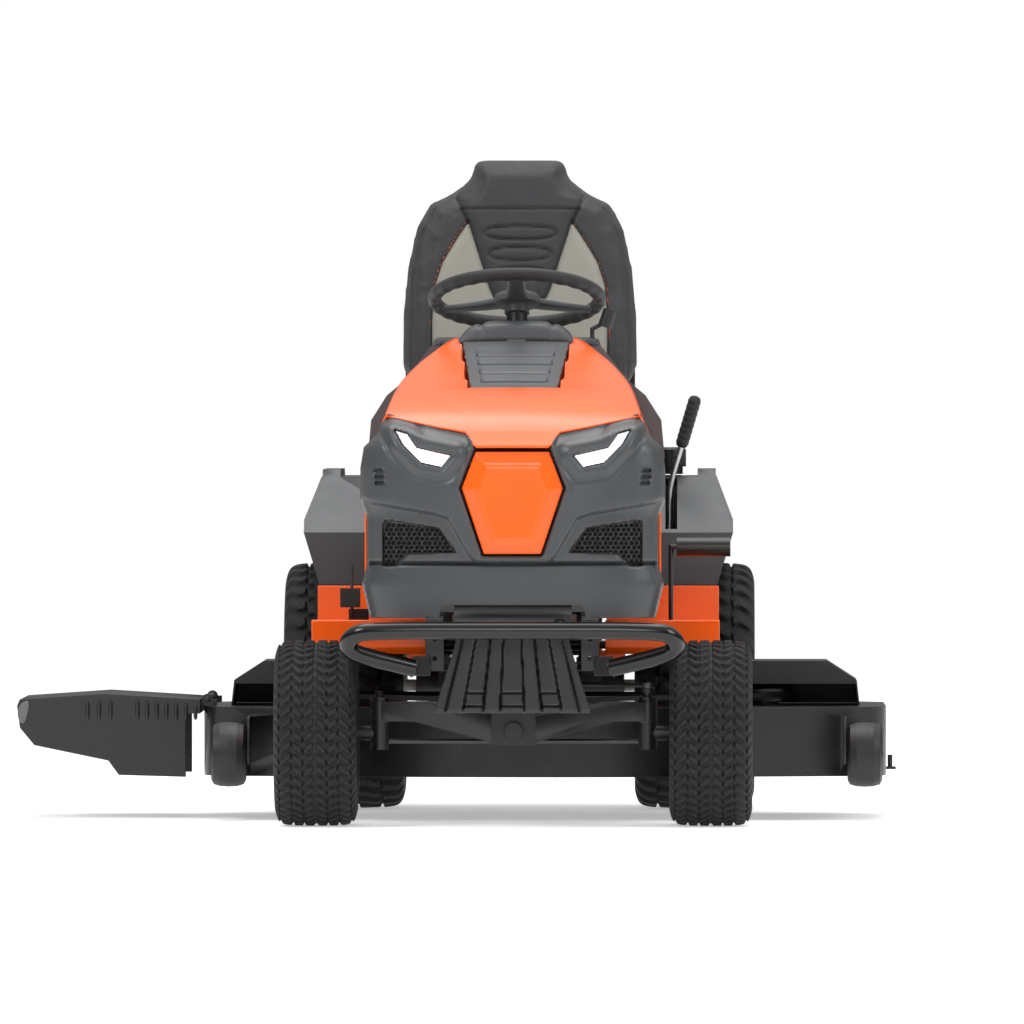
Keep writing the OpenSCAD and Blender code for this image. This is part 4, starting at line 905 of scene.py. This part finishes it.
# The backrest's outlines as (x, height up the backrest), its channels as (half width, low, high), and
# the line of its side seams as (heights, half widths)
BACK = mirrored([(0, 514), (80, 514), (94, 504), (112, 468), (146, 442), (194, 416), (222, 364), (241, 274),
                 (249, 184), (249, 70), (222, 12), (179, 0)])
CENTRE = mirrored([(0, 196), (34, 200), (56, 213), (66, 236), (86, 300), (109, 372), (134, 428), (120, 470),
                   (90, 530), (0, 530)])
INSERT = mirrored([(0, 24), (150, 24), (176, 44), (186, 100), (187, 160), (181, 240), (165, 290), (135, 340),
                   (109, 378), (60, 380)])
CHANNELS = [(76, 338, 366), (65, 293, 321), (54, 250, 276)]
SIDE_SEAM = ([0, 100, 250, 340, 400, 450], [226, 232, 228, 214, 186, 140])
FOOT_Z = 864                                 # of the backrest's rear face
NO_INSERT = 20                               # stored where a pad has only vinyl
VOXEL, PRESSURE, FRAMES = 8, 4.0, 20         # of the pads: cell size in mm, pressure, frames simulated


def puffed(outline, half, thick, place):
    """Closed pad over an outline: front and back sheets whose depth falls away as the square root of
    the distance to the edge, met along the edge."""
    low, high = outline.min(0), outline.max(0)
    a, b, faces = patch(lambda p, q: distance(outline, p, q), 9.0, low - 2, high + 2)
    edge = np.clip(-distance(outline, a, b) / half, 0, 1)
    swell = np.sqrt(1 - (1 - edge) ** 2)
    n = len(a)
    front_sheet = place(a, -thick / 2 - thick / 2 * swell, b)
    back_sheet = place(a, -thick / 2 + thick / 2 * swell, b)
    return np.vstack([front_sheet, back_sheet]), faces + [[k + n for k in f][::-1] for f in faces]


def inflated(name, points, faces, cap):
    """Pad blown up by cloth under pressure: the mesh is remeshed, simulated for a few frames, and no
    point moves further than the cap. Returns the new mesh's object, in the row frame."""
    mesh = bpy.data.meshes.new(name)
    mesh.from_pydata((points / 1000 + ORIGIN).tolist(), [], faces)
    obj = placed(name, mesh)
    merged(mesh, PAD_GAP, lambda work: bmesh.ops.recalc_face_normals(work, faces=work.faces))
    apply(obj, "REMESH", mode="VOXEL", voxel_size=VOXEL / 1000)
    rest = coordinates(obj.data)
    cloth = obj.modifiers.new("cloth", "CLOTH")
    cloth.settings.use_pressure = True
    cloth.settings.uniform_pressure_force = PRESSURE
    cloth.settings.effector_weights.gravity = 0
    cloth.settings.quality = 4
    scene = bpy.context.scene
    for number in range(1, FRAMES + 1):
        scene.frame_set(number)
    blown = evaluated(obj)
    moved = coordinates(blown) - rest
    length = np.linalg.norm(moved, axis=1, keepdims=True)
    obj.modifiers.remove(cloth)
    move_to(obj.data, rest + moved * np.minimum(1, cap / 1000 / np.maximum(length, 1e-9)))
    bpy.data.meshes.remove(blown)
    scene.frame_set(1)
    apply(obj, "SUBSURF", levels=1, render_levels=1)
    return obj


def evaluated(obj):
    """A new mesh of the object as its modifiers leave it."""
    return bpy.data.meshes.new_from_object(obj.evaluated_get(bpy.context.evaluated_depsgraph_get()))


def apply(obj, kind, **settings):
    """Adds a modifier and makes its result the piece's mesh."""
    m = obj.modifiers.new("step", kind)
    for key, value in settings.items():
        setattr(m, key, value)
    mesh = evaluated(obj)
    obj.modifiers.clear()
    old, obj.data = obj.data, mesh
    bpy.data.meshes.remove(old)


def coordinates(mesh):
    """The mesh's points as an array."""
    flat = np.empty(len(mesh.vertices) * 3, np.float32)
    mesh.vertices.foreach_get("co", flat)
    return flat.reshape(-1, 3).astype(float)


def move_to(mesh, points):
    """Moves the mesh's points, in the row frame, to these."""
    mesh.vertices.foreach_set("co", points.astype(np.float32).ravel())
    mesh.update()


def refitted(values, low, high):
    """Stretches values so that their ends fall on low and high: the blown-up pad draws in at its
    edges, and this brings its outline back."""
    return low + (values - values.min()) * (high - low) / (values.max() - values.min())


def store(mesh, name, values):
    """Keeps one number for each point of the mesh, for the material to read."""
    mesh.attributes.new(name, "FLOAT", "POINT").data.foreach_set("value", np.asarray(values, np.float32))


def seat_back():
    """Backrest: a blown-up pad. Seams are pressed in along the lines between its panels, the side
    bolsters swell, the middle panel stands out with three channels pressed in, and the inserts sink."""
    small = BACK * (0.965, 1.0) + (0, 10)            # inside the outline that it is stretched back to
    points, faces = puffed(small, 46, 78, lambda x, y, h: on_back(x, y - 9, h))
    pad = inflated("seat_back_pad", points, faces, 13)
    p = (coordinates(pad.data) - ORIGIN) * 1000
    c, s = math.cos(LEAN), math.sin(LEAN)
    dy, dz = p[:, 1] - WHEELBASE, p[:, 2] - FOOT_Z
    x, y, h = p[:, 0], dy * c - dz * s, dy * s + dz * c
    x, h = refitted(x, -BACK[:, 0].max(), BACK[:, 0].max()), refitted(h, 4, 516)
    facing = ease((-40 - y) / 18)
    middle, insert = distance(CENTRE, x, h), distance(INSERT, x, h)
    rim = np.maximum(insert, -middle)
    bolster = hill(np.abs(x) - 214, 22) * ease((440 - h) / 60)
    out = 9 * bolster + 7 * ease(-middle / 26) + 3 * ease(-np.maximum(rim, -200) / 20)
    out = out - 7 * hill(middle, 3.4) - 7 * hill(insert, 3.0) * (middle > -3)
    seam = np.abs(np.abs(x) - np.interp(h, *SIDE_SEAM))
    out = out - 3.5 * hill(seam, 2.6)
    for half, low, high in CHANNELS:
        cut = distance(cut_corners([(-half, low), (half, low), (half, high), (-half, high)], 2), x, h)
        out = out - 5 * hill(cut, 3.4) * (h > 0)
    out = out - 4 * hill(h - 404, 3) * (np.abs(x) < 128)
    move_to(pad.data, on_back(x, y - facing * out, h) / 1000 + ORIGIN)
    in_front = facing > 0.5
    store(pad.data, "insert", np.where(in_front, np.maximum(rim, -NO_INSERT), NO_INSERT) / 1000)
    store(pad.data, "piping", np.where(in_front & (middle > 2), np.abs(insert - 3.4), NO_INSERT) / 1000)
    return pad


def upholstery():
    """Vinyl with set-in cloth: the stored distance to the insert's edge, below 0 inside it, picks
    between leather grain and a close weave; a line beside it is piping."""
    f = Finish("seat_upholstery", tone(52, 53, 56), 0.42, Sheen_Weight=0.06)
    cloth = f.attribute("insert") < 0.0
    piping = f.attribute("piping") < 0.001
    leather = f.blend(f.noise(8, 4), tone(30, 31, 33), tone(42, 43, 46))
    weave = f.math("SINE", f.axis("X") * 2400.0) * f.math("SINE", f.axis("Z") * 2400.0) * 0.5 + 0.5
    fabric = f.blend(weave, tone(112, 110, 103), tone(160, 157, 147))
    f.put("Base Color", f.blend(piping, f.blend(cloth, leather, fabric), tone(206, 84, 30)))
    grain = f.cells(330, "DISTANCE_TO_EDGE")
    f.put("Roughness", cloth * 0.4 + 0.42 + f.noise(40, 2) * 0.08)
    height = f.ramp(grain, (0.0, 0.0), (0.16, 1.0)) * (1 - cloth) + weave * cloth
    f.relief(height, 0.0004)
    return f.material


seat_cover = upholstery()
pad = seat_back()
finish(pad, "seat", seat_cover, "seat_backrest")


def seat_pad():
    """Seat cushion: a blown-up pad over a rounded square, with a seam round its top and two cross
    channels."""
    low, high = span("seat_cushion")
    w, y0, y1 = (high[0] - low[0]) / 2, low[1], high[1]
    outline = cut_corners([(-w + 14, y0 + 44), (-w + 44, y0 + 12), (w - 44, y0 + 12), (w - 14, y0 + 44),
                           (w - 12, y1 - 42), (w - 42, y1 - 12), (-w + 42, y1 - 12), (-w + 12, y1 - 42)], 2)
    points, faces = puffed(outline, 40, 66, lambda a, t, b: np.stack([a, b, 783 - t], -1))
    cushion = inflated("seat_cushion_pad", points, faces, 12)
    p = (coordinates(cushion.data) - ORIGIN) * 1000
    p[:, 0], p[:, 1] = refitted(p[:, 0], -w, w), refitted(p[:, 1], y0, y1)
    top = ease((p[:, 2] - 826) / 10)
    inner = cut_corners([(-172, y0 + 62), (-150, y0 + 54), (150, y0 + 54), (172, y0 + 62), (168, y1 - 62),
                         (-168, y1 - 62)], 2)
    ring = distance(inner, p[:, 0], p[:, 1])
    roll = 5 * ease(ring / 30) * ease((60 - ring) / 30)
    p[:, 2] = np.maximum(p[:, 2] - top * 6 * hill(ring, 4) + top * roll, 773)
    for at in (y0 + 150, y0 + 260):
        p[:, 2] -= top * 4 * hill(p[:, 1] - at, 4) * (ring < 0)
    move_to(cushion.data, p / 1000 + ORIGIN)
    store(cushion.data, "insert", np.where(top > 0.5, ring, NO_INSERT) / 1000)
    store(cushion.data, "piping", np.where(top > 0.5, np.abs(ring - 3), NO_INSERT) / 1000)
    return cushion


cushion = seat_pad()
finish(cushion, "seat", seat_cover, "seat_cushion")


# ---- lift lever ----

FOOT, KNEE, TOP = np.array([(319, 985.6, 420), (319, 1013.6, 690), (375, 1007.6, 880)])   # of the rod
ARM_END = FOOT[1] - 160


def lever_grip():
    """Grip: a tube along the lever's upper half whose radius waves into finger ridges."""
    t = np.linspace(0, 1, 60)
    r = 14.0 * np.sqrt(np.clip(1 - (2 * t - 1) ** 14, 0.05, 1)) * (0.97 + 0.03 * np.cos(t * 2 * math.pi * 9))
    return Shape().add(*tube(KNEE + (TOP - KNEE) * (0.42 + 0.58 * t[:, None]), r, 28))


def lever_rod():
    """The lever's bright rod, its cross shaft and its two lifting arms."""
    _, y, z = FOOT
    bend = [FOOT, FOOT + (KNEE - FOOT) * 0.9, KNEE + (TOP - KNEE) * 0.06, KNEE + (TOP - KNEE) * 0.5]
    shape = Shape().add(*tube(spaced(cut_corners(bend, 3, False), 60), 6, 20))
    shape.add(*tube(np.linspace((span("lift_lever")[0][0], y, z), (325, y, z), 6), 9, 24))
    shape.add(*tube(np.linspace((307, y, z), (331, y, z), 4), 13.8, 24))
    for left, right, pin_left, pin_right in ((112, 124, 112, 138), (-124, -112, -138, -112)):
        shape.add(*block((left, ARM_END, z - 7), (right, y, z + 7)))
        shape.add(*tube(np.linspace((pin_left, ARM_END, z), (pin_right, ARM_END, z), 4), 6, 20))
    return shape


piece("lever_grip", lever_grip(), "lift_lever", grip, "lift_lever")
piece("lever_rod", lever_rod(), "lift_lever", steel, bevel=0.8)


# ---- parts that keep the CAD's own shape, with rounded edges ----

# (CAD node, piece, body, material, slot, bevel)
SOFT = [("dash_tower", "dash_body", "chassis", dash_grey, "grey_panel", 7),
        ("rear_fender", "fender_moulding", "chassis", grey, "grey_panel", 12),
        ("footrests", "side_skirts", "chassis", orange_frame, "orange_steel", 1.6),
        ("deck_shell", "deck_pressing", "deck", deck_black, "black_steel", 1.6),
        ("belt_covers", "deck_covers", "deck", black_plastic, "black_plastic", 5),
        ("deck_chute", "deflector", "deflector", chute_plastic, "black_plastic", 2.2),
        ("axle_beam", "axle_forging", "front_axle", black_steel, "black_steel", 2),
        ("spindle_left", "knuckle_casting_left", "knuckle_left", black_steel, "black_steel", 1.2),
        ("spindle_right", "knuckle_casting_right", "knuckle_right", black_steel, "black_steel", 1.2),
        ("frame_rails", "rails", "chassis", black_steel, "black_steel", 1),
        ("battery", "battery_case", "chassis", black_plastic, "black_plastic", 3),
        ("fuel_tank", "tank_moulding", "chassis", black_plastic, "black_plastic", 6),
        ("seat_shell", "seat_tub", "seat", black_plastic, "black_plastic", 4),
        ("forward_pedal", "pedal_forward", "forward_pedal", black_steel, "black_steel", 1.2),
        ("reverse_pedal", "pedal_reverse", "reverse_pedal", black_steel, "black_steel", 1.2),
        ("drawbar", "drawbar_plate", "chassis", black_steel, "black_steel", 1.5)]
for row in SOFT:
    softened(*row)


# ---- deflector's ribs and light end cap ----

def deflector_trim():
    """Two groups of upright ribs on the deflector's front, each a half-round bar that stops below the
    deflector's arched top."""
    shape = Shape()
    y = span("deck_chute")[0][1] - 0.5
    r = 4.2 * np.sqrt(np.clip(1 - np.linspace(-1, 1, 8) ** 8, 0.15, 1))
    for start, stop, count in ((-893, -845, 3), (-789, -668, 7)):
        for x in np.linspace(start, stop, count):
            top = 237 + 10 * math.sin(math.pi * np.clip((-650 - x) / 340, 0, 1))
            shape.add(*tube(np.linspace((x, y, 206), (x, y, top), 8), r, 12))
    return shape


def deflector_cap():
    """Cap at the deflector's outer end: a rounded box that follows its slanted end."""
    x, y = span("deck_chute")[0][:2]
    outline = cut_corners([(x + 1, 236), (x + 20, 247), (x + 28, 240), (x + 20, 206), (x + 12, 196),
                           (x + 2, 206)], 2)
    return Shape().add(*prism(outline, y - 3, y + 60, "y"))


piece("deflector_ribs", deflector_trim(), "deflector", chute_plastic)
piece("deflector_cap", deflector_cap(), "deflector", alloy, bevel=2)

painted(["frame_crossmembers", "seat_bracket", "brake_pedal", "steering_column"], black_steel)
painted(["engine_block", "transaxle", "spindle_housings"], alloy)
painted(["blower_housing", "fuel_cap", "throttle_lever", "roller_left", "roller_right"], black_plastic)
painted(["ignition_key", "steering_shaft"], steel)
painted(["muffler", "tie_rod", "drag_link", "sector_gear", "crank_pulley", "blade_left", "blade_centre",
         "blade_right"], dark_steel)
painted([f"{end}_rim_{side}" for end in ("front", "rear") for side in SIDES], rim_white)
painted(["deck_belt"], belt_rubber)


# ---- studio ----

# name, place, size, power, aim
LIGHTS = (("key", (-2.6, -3.4, 3.4), 1.6, 78, (0.1, 0, 0.7)),
          ("side", (3.4, -2.2, 2.2), 1.6, 45, (0.1, 0, 0.6)),
          ("top", (0.2, 0.2, 4.4), 3.6, 120, (0.1, 0, 0.4)),
          ("low", (0.3, -4.6, 1.6), 1.2, 22, (0.1, 0, 0.6)))


def studio():
    """Pale floor, soft lights and the camera. The sky is brighter overhead, and plain white where the
    camera looks straight at it."""
    points, faces = block((-14, -14, -0.012), (14, 14, 0))
    mesh = bpy.data.meshes.new("floor")
    mesh.from_pydata(points.tolist(), [], faces)
    floor = placed("floor", mesh)
    f = Finish("floor_pale", (0.9, 0.9, 0.9), 0.7, Specular_IOR_Level=0.0, Emission_Color=(1, 1, 1, 1),
               Emission_Strength=0.42)
    worn(f, (0.9, 0.9, 0.9), 0.008, 2)
    mesh.materials.append(f.material)
    world = bpy.data.worlds.new("studio")
    world.use_nodes = True
    sky = Tree(world.node_tree)
    ray = sky.node("ShaderNodeTexCoord").outputs["Generated"]
    up = sky.node("ShaderNodeSeparateXYZ", Vector=ray).outputs["Z"]
    glow = sky.node("ShaderNodeMapRange", i0=up, i1=0.05, i2=0.75, i3=0.10, i4=0.90).outputs[0]
    seen = sky.node("ShaderNodeLightPath").outputs["Is Camera Ray"]
    background = sky.tree.nodes["Background"].inputs
    sky.feed(background["Strength"], sky.node("ShaderNodeMix", i0=seen, i2=glow, i3=1.0).outputs[0])
    sky.feed(background["Color"], (1, 1, 1, 1))
    bpy.context.scene.world = world
    for name, place, size, power, aim in LIGHTS:
        lamp = bpy.data.lights.new(name, "AREA")
        lamp.size, lamp.energy = size, power
        obj = placed(name, lamp)
        obj.location = place
        away = np.array(aim) - np.array(place)
        obj.rotation_euler = (math.acos(-away[2] / np.linalg.norm(away)), 0,
                              math.atan2(away[1], away[0]) - math.pi / 2)
    view = bpy.data.cameras.new("camera")
    view.lens, view.sensor_width, view.clip_end = 514.7, 36, 100
    camera = placed("camera", view)
    camera.location = (ORIGIN[0] + 0.338, ORIGIN[1] - 30, 0.923)
    camera.rotation_euler = (math.radians(90 - 0.534), 0, math.radians(0.652))
    bpy.context.scene.camera = camera


studio()
bpy.context.scene.view_settings.view_transform = "Standard"
